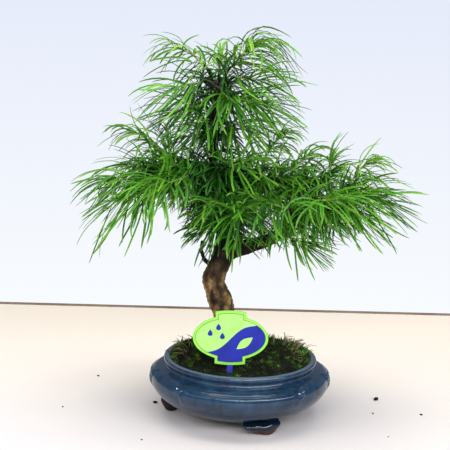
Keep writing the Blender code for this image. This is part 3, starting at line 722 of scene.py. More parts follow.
# The soil's height at the wall, from where it rises a little towards the middle.
GRAIN_Z = 57.6

bpy.ops.mesh.primitive_ico_sphere_add(subdivisions=1, radius=MM)
grain = named("grain")
rng = random.Random(5)
for vertex in grain.data.vertices:
    vertex.co *= rng.uniform(0.75, 1.2)
grain_shape = as_master(grain)

placed = []
for _ in range(GRAINS):
    angle = rng.uniform(0, 2 * math.pi)
    radius = rng.uniform(*GRAIN_RING)
    spot = round_axis(radius, angle, GRAIN_Z + 0.03 * (GRAIN_RING[1] - radius)) * MM
    turned = Matrix.Rotation(rng.uniform(0, 6), 3, "Z") @ Matrix.Rotation(rng.uniform(0, 6), 3, "X")
    placed.append(stood(grain_shape, turned, rng.uniform(0.35, 0.95), spot))
grit = joined_copies("soil_grains", grain_shape, placed)
hand_in(grit, soil_dark, "soil")

# %% [markdown]
# ## Moss
# A carpet of moss keeps a bonsai's soil damp. From a step away it is a lumpy, dark green
# felt with brown patches where the soil shows through, and its nap is thousands of leafy
# sprigs, each a few millimetres long. The felt is a finer copy of the construction node.
# One sprig of five pointed leaves is modelled, and copies of it are stood on the felt, and
# on the soil round it, wherever a ray that is cast straight down meets one of them.

# %% Living moss
# Leaves lie in tufts, so the colour wanders in blotches and pales towards each sprig's tip.
moss_green, shader = new_material("living_moss", Roughness=0.85, Specular_IOR_Level=0.15)
place = add_node(moss_green, "TexCoord", out="Object")
patches = add_node(moss_green, "TexNoise", {"Vector": place, "Scale": per_mm(16), "Detail": 5.0})
lit = add_node(moss_green, "Attribute", attribute_name="height", out="Fac")
dimmed = add_node(moss_green, "Math", {0: patches, 1: 0.62}, operation="MULTIPLY")
tips = add_node(moss_green, "Math", {0: lit, 1: 0.42}, operation="MULTIPLY")
both = add_node(moss_green, "Math", {0: dimmed, 1: tips}, operation="ADD")
tone = add_node(moss_green, "ValToRGB", {"Fac": both},
                stops=((0.24, "#0C0A06"), (0.37, "#18160B"), (0.48, "#212C0F"), (0.63, "#37581A"),
                       (0.82, "#76A236")))
nap = add_node(moss_green, "TexNoise", {"Vector": place, "Scale": per_mm(1.5), "Detail": 4.0})
surface(moss_green, shader, tone, nap, 0.8)

# %% A lumpy felt
FELT_SOFT_R = 66.0
FELT_BRIGHTNESS = 0.1

felt = copy_node("moss", "moss_felt")
edit(felt)
select_faces(felt, lambda centre, normal: normal.z > 0.2)
bpy.ops.mesh.subdivide(number_cuts=3, smoothness=0.6)
done()
top = felt.vertex_groups.new(name="top")
inside = [v.index for v in felt.data.vertices if v.normal.z > 0.3 and v.co.xy.length < FELT_SOFT_R * MM]
top.add(inside, 1.0, "REPLACE")
roughen(felt, 5, 3.0, "top")
roughen(felt, 2, 1.0, "top")
smooth(felt, 60)
set_attribute(felt, "height", [FELT_BRIGHTNESS] * len(felt.data.vertices))
hand_in(felt, moss_green, "moss", "moss")

# %% One sprig
SPRIG_LEAVES = 5


def moss_sprig():
    """Five leaves that start together and bow outwards, as one small mesh."""
    leaves = []
    for i in range(SPRIG_LEAVES):
        bpy.ops.mesh.primitive_circle_add(vertices=3, radius=0.4 * MM, fill_type="NGON")
        leaf = named("leaf")
        settle(leaf)
        edit(leaf)
        extrude(0.8 * MM, 0, 2.0 * MM)
        bpy.ops.transform.resize(value=(0.75, 0.75, 1))
        extrude(1.3 * MM, 0, 1.4 * MM)
        bpy.ops.mesh.merge(type="CENTER")
        done()
        leaf.rotation_euler.z = 2 * math.pi * i / SPRIG_LEAVES
        settle(leaf)
        leaves.append(leaf)
    pick(*leaves)
    bpy.ops.object.join()
    return named("sprig")


sprig_shape = as_master(moss_sprig())

# %% Thousands of copies
SPRIGS = 3900
SPRIG_HEIGHT = 3.4
MOSS_R = 71.3
# Shares of the sprigs that stand close to the edge, and that are tall.
EDGE_SHARE = 0.16
EDGE_FROM = 0.86
TALL_SHARE = 0.16
TALL_BY = 1.7
# At the back, the ones at the edge grow longer by this share.
EDGE_GROWTH = 1.5
SUNK = 0.4

rng = random.Random(11)
felt_top = max(v.co.z for v in felt.data.vertices)
placed = []
heights = []
while len(placed) < SPRIGS:
    radius = MOSS_R * MM * math.sqrt(rng.uniform(EDGE_FROM if rng.random() < EDGE_SHARE else 0.0, 1.0))
    angle = rng.uniform(0, 2 * math.pi)
    above = round_axis(radius, angle, felt_top + 10 * MM)
    hit, spot, normal, _ = felt.ray_cast(above, -UP)
    if not hit:
        hit, spot, normal, _ = soil.ray_cast(above, -UP)
    if not hit:
        continue
    lean = (normal + Vector((rng.gauss(0, 0.35), rng.gauss(0, 0.35), 0.6))).normalized()
    turned = lean.to_track_quat("Z", "X").to_matrix() @ Matrix.Rotation(rng.uniform(0, 6.3), 3, "Z")
    size = rng.uniform(0.4, 0.85) * (TALL_BY if rng.random() < TALL_SHARE else 1.0)
    brightness = sprig_shape[0][:, 2] / (SPRIG_HEIGHT * MM) * size * rng.uniform(0.4, 1.1)
    # Sprigs on the right of the pot are painted up to a quarter brighter, as painted light.
    heights.append(brightness * (1 + 0.25 * rise(spot.x / MM, 0, 40)))
    size *= 1 + EDGE_GROWTH * rise(radius / MM, 58, 67) * rise(spot.y / MM, -35, 20)
    placed.append(stood(sprig_shape, turned, size, spot - lean * SUNK * MM))
sprigs = joined_copies("moss_sprigs", sprig_shape, placed)
set_attribute(sprigs, "height", np.concatenate(heights))
hand_in(sprigs, moss_green, "moss")

# %% [markdown]
# ## The plant label
# Garden labels are punched from a sheet of polystyrene and printed on the front: an oval
# plate with a square tab above and below, on a flat pointed stake. The plate is a disc
# joined with a block by a Boolean, and a narrow bevel takes the light along its edge. Its
# print is plain: a blue wave that carries one pale leaf, and three drops of water above it.

# %% Printed polystyrene


def printed(name, hex_value, deeper):
    """Half glossy printed sheet. The colour is even but for a faint mottle, as thin ink gives."""
    return mottled(name, (12, 2.0), ((0.3, deeper), (0.7, hex_value)), (2.5, 2.0, 0.02),
                   Roughness=0.45, Specular_IOR_Level=0.25)


lime = printed("lime_polystyrene", "#93DF50", "#8BD646")
pale = printed("pale_lime_ink", "#ABE37C", "#9FDC66")
blue = printed("deep_blue_ink", "#14249C", "#101C86")
line_ink = printed("dark_green_ink", "#2F5A2A", "#284E24")

# %% The label's sizes
LABEL_LOW, LABEL_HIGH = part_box("plant_label")
LABEL_X = (LABEL_LOW.x + LABEL_HIGH.x) / 2
LABEL_Y = (LABEL_LOW.y + LABEL_HIGH.y) / 2
LABEL_HALF_W = (LABEL_HIGH.x - LABEL_LOW.x) / 2
LABEL_THICK = LABEL_HIGH.y - LABEL_LOW.y
LABEL_TAB_HALF_H = 27.5 * MM
LABEL_TAB_HALF_W = 15 * MM
LABEL_TAB_CROWN = 1.2 * MM
LABEL_Z = LABEL_HIGH.z - LABEL_TAB_HALF_H
LABEL_HALF_H = 22.5 * MM
print("label, mm:", [round(x / MM, 1) for x in LABEL_HIGH - LABEL_LOW])

# %% Plate


def cut_or_join(obj, other, operation):
    """A Boolean of two pieces, after which the second one goes."""
    add_modifier(obj, "BOOLEAN", object=other, operation=operation, solver="EXACT")
    bpy.data.objects.remove(other)


def plate(name, grow, thick, at_y):
    """The label's outline, grown or shrunk, as a plate of some thickness round a plane."""
    bpy.ops.mesh.primitive_cylinder_add(vertices=128, radius=1, depth=thick,
                                        location=(LABEL_X, at_y, LABEL_Z), rotation=(math.radians(90), 0, 0))
    oval = named(name)
    oval.scale = (LABEL_HALF_W + grow, LABEL_HALF_H + grow, 1)
    settle(oval)
    bpy.ops.mesh.primitive_cube_add(size=2, location=(LABEL_X, at_y, LABEL_Z))
    tab = named("tab")
    tab.scale = (LABEL_TAB_HALF_W + grow, thick / 2, LABEL_TAB_HALF_H + grow - LABEL_TAB_CROWN)
    settle(tab)
    edit(tab)
    select_faces(tab, lambda centre, normal: abs(normal.z) > 0.9)
    bpy.ops.mesh.subdivide(number_cuts=5)
    done()
    for vertex in tab.data.vertices:
        side = (vertex.co.x - LABEL_X) / (LABEL_TAB_HALF_W + grow)
        crown = LABEL_TAB_CROWN * (1 - side * side)
        if abs(vertex.co.z - LABEL_Z) > LABEL_HALF_H:
            vertex.co.z += math.copysign(crown, vertex.co.z - LABEL_Z)
    cut_or_join(oval, tab, "UNION")
    return oval


label = plate("label_plate", 0, LABEL_THICK, LABEL_Y)
add_modifier(label, "BEVEL", width=0.18 * MM, segments=2, limit_method="ANGLE", angle_limit=math.radians(40))
smooth(label, 30)
hand_in(label, lime, "label_plastic", "plant_label")

# %% Stake
STAKE_W = 5.6 * MM
STAKE_POINT = 7 * MM

bpy.ops.mesh.primitive_cube_add(size=1)
stake = named("label_stake")
stake_top = LABEL_Z - LABEL_TAB_HALF_H + 4 * MM
stake.scale = (STAKE_W, LABEL_THICK * 0.9, stake_top - LABEL_LOW.z)
stake.location = (LABEL_X, LABEL_Y, (stake_top + LABEL_LOW.z) / 2)
settle(stake)
edit(stake)
select_faces(stake, lambda centre, normal: normal.z < -0.9)
bpy.ops.mesh.inset(thickness=0.2 * MM)
bpy.ops.transform.resize(value=(0.12, 1, 1))
bpy.ops.mesh.select_all(action="DESELECT")
done()
for vertex in stake.data.vertices:
    if vertex.co.z < LABEL_LOW.z + 1 * MM and abs(vertex.co.x - LABEL_X) > STAKE_W / 3:
        vertex.co.z += STAKE_POINT
add_modifier(stake, "BEVEL", width=0.15 * MM, segments=2)
smooth(stake, 30)
hand_in(stake, blue, "label_plastic")

# %% Films of ink
FRONT = LABEL_Y - LABEL_THICK / 2
PRINT_THICK = 0.05 * MM
LINE_INSET = -2.6 * MM
FIELD_INSET = -3.0 * MM


def ink(name, material, layer, shape):
    """A film of ink on the plate: the shape is cut to the printed field. Higher layers lie in front."""
    field = plate(name, FIELD_INSET if shape else LINE_INSET, PRINT_THICK, FRONT - layer * PRINT_THICK)
    if shape:
        cut_or_join(field, shape, "INTERSECT")
    smooth(field, 30)
    hand_in(field, material, "label_plastic")


def cutter(points):
    """A block whose front view is the outline through these points, in mm from the plate's middle."""
    mesh = bpy.data.meshes.new("cutter")
    corners = [(LABEL_X + x * MM, FRONT - 2 * MM, LABEL_Z + z * MM) for x, z in points]
    mesh.from_pydata(corners, [], [list(range(len(corners)))])
    obj = bpy.data.objects.new("cutter", mesh)
    bpy.context.scene.collection.objects.link(obj)
    edit(obj)
    extrude(0, 4 * MM, 0)
    done_outwards()
    return obj


# %% Wave, leaf and drops
WATER_DROPS = ((-20, 5), (-12, 11), (-8, 2))
DROP_SIZE = 3.4


def wave(x):
    """Height of the wave's crest across the plate."""
    return 0.62 * x + 3.2 * math.sin(x / 7.0) - 1.0


def drop(x, z, size):
    """A drop of water, pointed above and round below."""
    angles = [2 * math.pi * i / 28 for i in range(28)]
    return [(x + size * math.sin(a) * math.sin(a / 2) ** 1.4, z + size * math.cos(a)) for a in angles]


def leaf_outline(x, z, length, turn_deg):
    """A leaf with a point at both ends, turned about its middle."""
    sides = [(length * (i / 16 - 0.5), length * 0.2 * math.sin(math.pi * i / 16)) for i in range(17)]
    sides += [(u, -v) for u, v in reversed(sides[1:-1])]
    c = math.cos(math.radians(turn_deg))
    s = math.sin(math.radians(turn_deg))
    return [(x + u * c - v * s, z + u * s + v * c) for u, v in sides]


crest = [(x, wave(x)) for x in range(-40, 41, 2)]
ink("label_outline", line_ink, 1, None)
ink("label_field", pale, 2, cutter([(-40, -40), (40, -40), (40, 40), (-40, 40)]))
ink("label_wave", blue, 3, cutter([*crest, (40, -40), (-40, -40)]))
ink("label_leaf", pale, 4, cutter(leaf_outline(14, -5, 20, 38)))
for i, (x, z) in enumerate(WATER_DROPS):
    ink(f"label_drop_{i + 1}", blue, 4, cutter(drop(x, z, DROP_SIZE)))

# %% [markdown]
# ## The wood
# Trunk and branches are one piece of living wood, so the construction node is one closed
# solid. Its copy is remeshed into an even skin of small faces, which melts the joints
# between limbs the way growing wood does. Two procedural textures then push that skin in
# and out: soft knobs the size of old leaf cushions, and finer scales of bark. The trunk of
# a young golden larch is tan and scaly below. Higher up, where the crown shades it, the
# bark is painted a dark purplish brown as painted shade.

# %% Bark
# Dry bark is dull. Its plates are about 7 mm wide, and it is tan below, with a dark purplish brown of painted
# shade above.
bark, shader = new_material("larch_bark", Roughness=0.88, Specular_IOR_Level=0.15)
place = add_node(bark, "TexCoord", out="Object")
height = add_node(bark, "SeparateXYZ", {"Vector": place}, out="Z")
stretched = add_node(bark, "Mapping", {"Vector": place, "Scale": (1.0, 1.0, 0.7)})
patchy = add_node(bark, "TexNoise", {"Vector": stretched, "Scale": per_mm(9), "Detail": 6.0})
tan = add_node(bark, "ValToRGB", {"Fac": patchy},
               stops=((0.33, "#1A110B"), (0.43, "#46341F"), (0.52, "#745A38"), (0.64, "#A48654")))
painted_shade_purple = add_node(bark, "ValToRGB", {"Fac": patchy},
                  stops=((0.35, "#0C0908"), (0.55, "#1C1412"), (0.72, "#3A2A26")))
painted_shade_above = add_node(bark, "MapRange", {"Value": height, "From Min": 138 * MM, "From Max": 166 * MM})
tone = add_node(bark, "Mix", {"Factor": painted_shade_above, "A": tan, "B": painted_shade_purple}, data_type="RGBA")
print("bark:", len(bark.node_tree.nodes), "nodes")

# %% Cracks in the bark
# Dark cracks run between the plates, and noise pushes them about so that they wander. Their dark is partly
# the bark's own and partly painted shade in the furrows.
wander = add_node(bark, "TexNoise", {"Vector": place, "Scale": per_mm(9), "Detail": 3.0}, out="Color")
pushed = add_node(bark, "VectorMath", {0: wander, "Scale": 9 * MM}, operation="SCALE")
warped = add_node(bark, "VectorMath", {0: stretched, 1: pushed}, operation="ADD")
cracks = add_node(bark, "TexVoronoi", {"Vector": warped, "Scale": per_mm(7)}, feature="DISTANCE_TO_EDGE")
crack_colour_and_shade = add_node(bark, "MapRange", {"Value": cracks, "From Max": 0.16, "To Min": 0.4, "To Max": 0.0})
tone = add_node(bark, "Mix", {"Factor": crack_colour_and_shade, "A": tone, "B": colour("#241811")}, data_type="RGBA")
scales = add_node(bark, "TexNoise", {"Vector": place, "Scale": per_mm(1.6), "Detail": 5.0})
scaly = add_node(bark, "Math", {0: cracks, 1: scales}, operation="ADD")
surface(bark, shader, tone, scaly, 0.9)
print("bark:", len(bark.node_tree.nodes), "nodes")

# %% Remesh and roughen the wood
WOOD_VOXEL = 0.85
WOOD_MIDDLE_X = -22.0
TWIG_RELIEF = 0.25

wood = copy_node("trunk_and_branches", "trunk_and_branches_bark")
wood.data.remesh_voxel_size = WOOD_VOXEL * MM
pick(wood)
bpy.ops.object.voxel_remesh()
add_modifier(wood, "SMOOTH", factor=0.5, iterations=4)
# The trunk gets the full relief, and thin twigs high up or far out a quarter of it.
stout = wood.vertex_groups.new(name="stout")
for vertex in wood.data.vertices:
    x, y, z = vertex.co / MM
    from_trunk = math.hypot(x - WOOD_MIDDLE_X, y)
    share = rise(-z, -250, -150) * rise(-from_trunk, -45, -18)
    stout.add([vertex.index], TWIG_RELIEF + (1 - TWIG_RELIEF) * share, "REPLACE")
roughen(wood, 9, 3.2, "stout")
roughen(wood, 3, 1.5, "stout")
smooth(wood, 70)
hand_in(wood, bark, "bark", "trunk_and_branches")

# %% [markdown]
# ## Needles
# A golden larch carries soft flat needles, 30 to 60 mm long and about 2 mm wide. They
# stand in a spiral round each shoot, leave it almost square near its base and lean towards
# its tip, and their own weight bends them over in an arc. There are thousands of them, so
# one straight needle is modelled: a flat ring that is extruded along Z and pinched to a
# point. Each copy of it is bent along its own curve, which starts at the root, heads for
# the bend and ends at the tip. All the needles of a shoot make one piece.

# %% Model one straight needle
# Height and half width, as shares of its length and of its widest half. It ends in a point.
NEEDLE_STEPS = [(0.0, 0.45), (0.07, 0.8), (0.2, 1.0), (0.36, 1.0), (0.52, 1.0), (0.68, 0.97), (0.83, 0.88),
                (0.94, 0.6), (1.0, 0.0)]
NEEDLE_FLATNESS = 0.34


def straight_shape(name, sides, flatness, steps):
    """A ring that is extruded along Z from one height and half width to the next."""
    bpy.ops.mesh.primitive_circle_add(vertices=sides, radius=steps[0][1], fill_type="NGON")
    shape = named(name)
    shape.scale.y = flatness
    settle(shape)
    edit(shape)
    for (low, narrow), (high, wide) in zip(steps, steps[1:]):
        extrude(0, 0, high - low)
        if wide:
            widen(wide / narrow, wide / narrow)
        else:
            bpy.ops.mesh.merge(type="CENTER")
    done_outwards()
    return as_master(shape)


needle_shape = straight_shape("needle", 4, NEEDLE_FLATNESS, NEEDLE_STEPS)

# %% Where the shoots are
Shoot = namedtuple("Shoot", "name base tip needles length habit")
# The same shoots as in the construction model, in millimetres.
SHOOTS = [Shoot(*row) for row in (
    ("apex_right_long", (-17, -4, 360), (3, -12, 382), 15, 74, "fountain"),
    ("apex_left_long", (-45, 4, 360), (-75, 8, 376), 11, 46, "young"),
    ("apex_up", (-29, 6, 353), (-27, 12, 366), 12, 42, "young"),
    ("apex_right_mid", (-12, -8, 349), (17, -22, 348), 11, 56, "crown"),
    ("apex_right_low", (-12, -10, 330), (16, -20, 323), 14, 61, "crown"),
    ("apex_left_mid", (-48, -6, 344), (-75, -14, 338), 11, 54, "crown"),
    ("apex_left_low", (-47, 0, 322), (-73, 6, 313), 11, 55, "crown"),
    ("apex_front", (-26, -14, 335), (-12, -38, 326), 12, 56, "crown"),
    ("apex_back", (-28, 16, 337), (-24, 46, 340), 11, 55, "crown"),
    ("apex_back_left", (-42, 14, 329), (-59, 44, 327), 7, 54, "crown"),
    ("apex_back_right", (-16, 14, 326), (1, 44, 326), 7, 54, "crown"),
    ("crown_right", (-17, -8, 305), (7, -20, 299), 12, 58, "crown"),
    ("crown_front_left", (-39, -12, 309), (-58, -32, 303), 8, 44, "crown"),
    ("crown_left", (-45, 4, 292), (-67, 14, 286), 7, 38, "crown"),
    ("crown_back", (-25, 14, 291), (-15, 44, 288), 6, 50, "crown"),
    ("left_tip", (-107, -16, 253), (-136, -22, 246), 12, 58, "left"),
    ("left_tip_low", (-98, -26, 246), (-118, -40, 231), 12, 68, "left"),
    ("left_young", (-86, -4, 273), (-119, -8, 294), 10, 42, "young"),
    ("left_spur", (-78, 4, 264), (-78, 8, 277), 6, 46, "upright"),
    ("left_top", (-97, 8, 258), (-124, 18, 255), 10, 52, "left"),
    ("left_front", (-78, -34, 251), (-96, -52, 243), 11, 56, "left"),
    ("left_front_inner", (-57, -34, 254), (-75, -52, 249), 7, 35, "middle"),
    ("left_inner_low", (-45, -14, 245), (-61, -24, 237), 4, 27, "left"),
    ("left_back", (-88, 26, 249), (-108, 52, 245), 10, 54, "left"),
    ("left_back_inner", (-61, 28, 249), (-75, 58, 241), 8, 38, "middle"),
    ("centre_front", (-11, -44, 217), (-6, -74, 229), 15, 57, "middle"),
    ("centre_front_left", (-29, -34, 225), (-38, -60, 229), 6, 32, "middle"),
    ("bare_twig", (-40, -14, 216), (-53, -18, 215), 3, 22, "low"),
    ("lower_left", (-34, -6, 196), (-47, -10, 199), 5, 30, "low"),
    ("centre_up", (-16, -24, 263), (3, -42, 273), 11, 48, "middle"),
    ("centre_young", (16, -4, 262), (33, -8, 291), 12, 44, "young"),
    ("centre_back", (-20, 30, 250), (-18, 62, 248), 11, 56, "middle"),
    ("centre_back_low", (-23, 40, 209), (-30, 68, 203), 10, 44, "middle"),
    ("lower_front", (-8, -27, 194), (-6, -49, 199), 6, 38, "low"),
    ("lower_back", (4, 40, 205), (12, 64, 199), 10, 42, "low"),
    ("right_tip", (115, -28, 242), (140, -34, 233), 11, 50, "right"),
    ("right_tip_up", (104, -16, 248), (122, -18, 270), 11, 42, "young"),
    ("right_tip_low", (101, -34, 228), (115, -48, 219), 9, 50, "right"),
    ("right_up_spur", (84, 4, 252), (86, 6, 265), 8, 40, "upright"),
    ("right_front", (74, -52, 236), (94, -70, 242), 9, 48, "right"),
    ("right_front_inner", (41, -50, 227), (19, -68, 235), 14, 56, "middle"),
    ("right_mid_low", (76, -28, 219), (93, -38, 216), 6, 38, "right"),
    ("right_low", (49, -21, 192), (63, -27, 186), 11, 42, "low"),
    ("right_top", (47, 4, 254), (63, 6, 272), 10, 48, "young"),
    ("right_back", (70, 32, 240), (87, 58, 245), 8, 50, "right"),
    ("right_back_inner", (33, 46, 236), (41, 70, 243), 11, 54, "middle"),
    ("right_back_low", (52, 42, 214), (70, 52, 210), 10, 48, "right"),
    ("right_inner_low", (18, -28, 199), (28, -46, 203), 6, 38, "low"),
    ("right_back_tip", (103, 6, 230), (126, 22, 234), 11, 56, "right"),
)]
print(len(SHOOTS), "shoots")

# %% A few single needles
# The ones that stand out most: four places along each, in millimetres.
SINGLE = {
    "left_spur": [
        ((-78, 4, 266), (-75, 4, 279), (-79, 4, 297), (-95, 4, 312)),
        ((-80, 5, 272), (-84, 6, 288), (-92, 6, 300), (-108, 6, 306)),
    ],
    "left_young": [
        ((-93, -6, 277), (-104, -6, 290), (-112, -6, 303), (-116, -6, 321)),
        ((-89, -2, 275), (-90, 0, 289), (-97, 2, 303), (-111, 2, 322)),
    ],
    "right_tip_up": [
        ((105, -16, 249), (112, -15, 264), (121, -14, 279), (134, -14, 295)),
        ((116, -20, 259), (130, -20, 259), (144, -20, 255), (169, -20, 245)),
        ((113, -16, 264), (125, -16, 266), (135, -16, 264), (150, -16, 258)),
        ((106, -16, 266), (116, -16, 272), (127, -16, 273), (144, -16, 272)),
    ],
    "right_tip": [
        ((124, -34, 245), (139, -34, 236), (153, -34, 227), (177, -34, 216)),
        ((120, -36, 238), (136, -36, 227), (151, -36, 217), (170, -36, 205)),
        ((115, -38, 229), (131, -38, 216), (149, -38, 204), (165, -38, 196)),
        ((105, -40, 226), (116, -40, 213), (130, -40, 201), (140, -40, 195)),
    ],
    "apex_right_long": [
        ((-1, -10, 377), (6, -10, 396), (20, -10, 399), (42, -10, 389)),
        ((3, -12, 382), (16, -16, 390), (36, -18, 376), (54, -18, 350)),
        ((2, -12, 381), (22, -10, 388), (40, -8, 372), (60, -8, 354)),
        ((-8, -12, 378), (-3, -12, 393), (12, -12, 399), (29, -12, 395)),
        ((-6, -12, 376), (0, -12, 391), (16, -12, 395), (38, -12, 379)),
        ((-3, -14, 378), (6, -14, 392), (23, -14, 390), (40, -14, 366)),
        ((-1, -14, 378), (12, -14, 388), (30, -14, 377), (47, -14, 356)),
        ((-9, -10, 372), (-7, -10, 385), (0, -10, 395), (12, -10, 395)),
        ((-5, -12, 376), (4, -12, 386), (20, -12, 381), (34, -12, 362)),
    ],
    "apex_up": [
        ((-26, 8, 354), (-43, 8, 365), (-59, 8, 377), (-77, 8, 386)),
        ((-26, 6, 355), (-36, 6, 367), (-44, 6, 377), (-55, 6, 384)),
        ((-27, 10, 355), (-35, 10, 364), (-40, 10, 374), (-42, 10, 384)),
        ((-24, 12, 356), (-23, 12, 366), (-22, 12, 376), (-23, 12, 384)),
        ((-22, 4, 355), (-18, 4, 366), (-14, 4, 377), (-10, 4, 385)),
        ((-21, -4, 350), (-15, -4, 358), (-11, -4, 366), (-8, -4, 374)),
    ],
    "apex_left_long": [
        ((-66, 8, 371), (-65, 8, 380), (-59, 8, 386), (-49, 8, 390)),
        ((-56, 6, 362), (-68, 6, 367), (-85, 6, 366), (-101, 6, 362)),
        ((-54, 4, 361), (-70, 4, 364), (-89, 4, 357), (-105, 4, 346)),
    ],
    "apex_front": [
        ((-22, -34, 344), (-20, -34, 330), (-14, -34, 318), (-5, -34, 308)),
        ((-26, -36, 336), (-28, -36, 322), (-26, -36, 309), (-21, -36, 295)),
    ],
    "left_tip_low": [
        ((-131, -36, 222), (-139, -36, 202), (-147, -36, 181), (-154, -36, 162)),
        ((-123, -40, 223), (-134, -40, 205), (-140, -40, 189), (-141, -40, 172)),
        ((-135, -32, 224), (-148, -32, 208), (-159, -32, 195), (-167, -32, 179)),
    ],
    "left_front": [
        ((-98, -50, 233), (-96, -50, 217), (-98, -50, 199), (-101, -50, 181)),
        ((-102, -48, 233), (-106, -48, 217), (-114, -48, 201), (-122, -48, 185)),
        ((-95, -44, 233), (-91, -44, 219), (-91, -44, 204), (-95, -44, 188)),
        ((-86, -54, 240), (-79, -54, 229), (-75, -54, 214), (-79, -54, 200)),
    ],
    "right_tip_low": [
        ((101, -38, 221), (102, -38, 206), (110, -38, 193), (118, -38, 181)),
        ((125, -36, 221), (135, -36, 208), (145, -36, 193), (153, -36, 179)),
    ],
}
print(sum(len(needles) for needles in SINGLE.values()), "single needles")

# %% How needles lie in each part of the crown
# Their angle to the stem in degrees at the shoot's base and tip, the steepest fall and rise
# of a root, the droop and the sweep away from the trunk at a needle's end, and its width in mm.
Habit = namedtuple("Habit", "base_lean tip_lean fall rise droop sweep width")
HABITS = {
    "crown": Habit(72, 24, -0.5, 0.45, 1.6, 1.1, 2.1),
    "left": Habit(70, 24, -0.6, 0.35, 2.0, 1.0, 2.1),
    "right": Habit(62, 20, -0.45, 0.35, 1.3, 1.3, 2.05),
    "middle": Habit(72, 26, -0.4, 0.5, 1.2, 0.7, 2.05),
    "low": Habit(50, 16, -1.0, 0.2, 0.9, 0.9, 2.1),
    "spur": Habit(74, 24, -1.0, 0.8, 1.6, 0.7, 1.95),
    "upright": Habit(40, 16, -0.3, 1.0, 1.1, 0.4, 2.1),
    "young": Habit(58, 16, -0.7, 0.9, 2.6, 0.35, 2.05),
    "fountain": Habit(42, 18, -0.2, 1.0, 4.6, 0.5, 2.2),
}
DENSITY = 2.9
GOLDEN_ANGLE = math.radians(137.508)
ANGLE_SPREAD = 0.9
LEAN_SPREAD = 15
LENGTH_SPREAD = (0.72, 1.12)
DROOP_SPREAD = (0.4, 1.6)
WIDTH_SPREAD = (0.8, 1.15)
TWIST = 0.5
CURL = 0.11
# Shares of a needle's length from its root to the first bend, and from bend to bend to end.
FIRST_REACH = 0.36
NEXT_REACH = 0.34
TRUNK_X = -25.0
YOUNG_BOW = 0.14
# The construction model's box, a little smaller: the last bend and the end of each spiral needle are kept
# inside it.
ROOM_LOW = cad_box[0] / MM + Vector((0.5, 0.5, 0))
ROOM_HIGH = cad_box[1] / MM - Vector((0.5, 0.5, 0.5))
print(len(HABITS), "habits")

# %% The line of one needle


def stem_point(shoot, share):
    """A place on a shoot's stem. A young stem bows up on its way."""
    base = Vector(shoot.base)
    tip = Vector(shoot.tip)
    bow = YOUNG_BOW * (tip - base).length if shoot.habit == "young" else 0
    return base.lerp(tip, share) + UP * (4 * bow * share * (1 - share))


def through(start, third, two_thirds, end):
    """The four points of the curve that passes through these places."""
    pull = (third * 18 - two_thirds * 9 - start * 5 + end * 2) / 6
    reach = (two_thirds * 18 - third * 9 - end * 5 + start * 2) / 6
    return start, pull, reach, end


def needle_line(shoot, i, count, rng):
    """Four points of one needle's curve in millimetres: its root, two that pull it, and its end."""
    habit = HABITS[shoot.habit]
    along = (Vector(shoot.tip) - Vector(shoot.base)).normalized()
    side = along.orthogonal().normalized()
    share = (i + 0.5) / count
    root = stem_point(shoot, share)
    # It leaves the stem in a spiral, and leans further towards the tip the nearer it stands to it.
    turn = i * GOLDEN_ANGLE + rng.uniform(-ANGLE_SPREAD, ANGLE_SPREAD)
    lean = habit.base_lean + (habit.tip_lean - habit.base_lean) * share ** 1.3 + rng.gauss(0, LEAN_SPREAD)
    lean = math.radians(lean)
    out = side * math.cos(turn) + along.cross(side) * math.sin(turn)
    start = along * math.cos(lean) + out * math.sin(lean)
    start.z = min(max(start.z, habit.fall), habit.rise)
    start.normalize()
    # Its end heads outwards and down, and most where it starts level.
    length = shoot.length * (1.06 - 0.2 * share) * rng.uniform(*LENGTH_SPREAD)
    level = math.hypot(start.x, start.y)
    droop = habit.droop * (0.35 + 0.65 * level) * rng.uniform(*DROOP_SPREAD)
    sweep = Vector((root.x - TRUNK_X, root.y, 0)).normalized() * habit.sweep
    fall = (start + sweep - UP * droop).normalized()
    aside = start.cross(UP).normalized() * (length * CURL)
    pull = root + start * (FIRST_REACH * length)
    reach = pull + (start + fall).normalized() * (NEXT_REACH * length) + aside * rng.gauss(0, 0.8)
    end = reach + fall * (NEXT_REACH * length) + aside * rng.gauss(0, 1)
    for axis in range(3):
        end[axis] = min(ROOM_HIGH[axis], max(ROOM_LOW[axis], end[axis]))
        reach[axis] = min(ROOM_HIGH[axis], max(ROOM_LOW[axis], reach[axis]))
    return root, pull, reach, end


# %% Bend copies along their lines


def bent_copies(name, master, lines, widths, rng):
    """One object with a copy of a straight master shape bent along each line."""
    points, _ = master
    t = points[:, 2][:, None]
    placed = []
    for line, width in zip(lines, widths):
        a, b, c, d = (np.array(p) for p in line)
        middle = (1 - t) ** 3 * a + 3 * t * (1 - t) ** 2 * b + 3 * t * t * (1 - t) * c + t ** 3 * d
        ahead = (1 - t) ** 2 * (b - a) + 2 * t * (1 - t) * (c - b) + t * t * (d - c)
        ahead /= np.linalg.norm(ahead, axis=1)[:, None]
        chord = Vector(d - a)
        flat = chord.cross(UP)
        flat = flat.normalized() if flat.length > 1 else Vector((1, 0, 0))
        flat = Matrix.Rotation(rng.gauss(0, TWIST), 3, chord.normalized()) @ flat
        across = np.array(flat) - ahead * (ahead @ np.array(flat))[:, None]
        across /= np.linalg.norm(across, axis=1)[:, None]
        up = np.cross(across, ahead)
        placed.append((middle + (across * points[:, :1] + up * points[:, 1:2]) * (width / 2)) * MM)
    obj = joined_copies(name, master, placed)
    set_attribute(obj, "along", np.tile(points[:, 2], len(lines)))
    set_attribute(obj, "tint", np.repeat([rng.random() for _ in lines], len(points)))
    smooth(obj, 50)
    return obj


def needle_widths(habit, count, rng):
    return [HABITS[habit].width * rng.uniform(*WIDTH_SPREAD) for _ in range(count)]


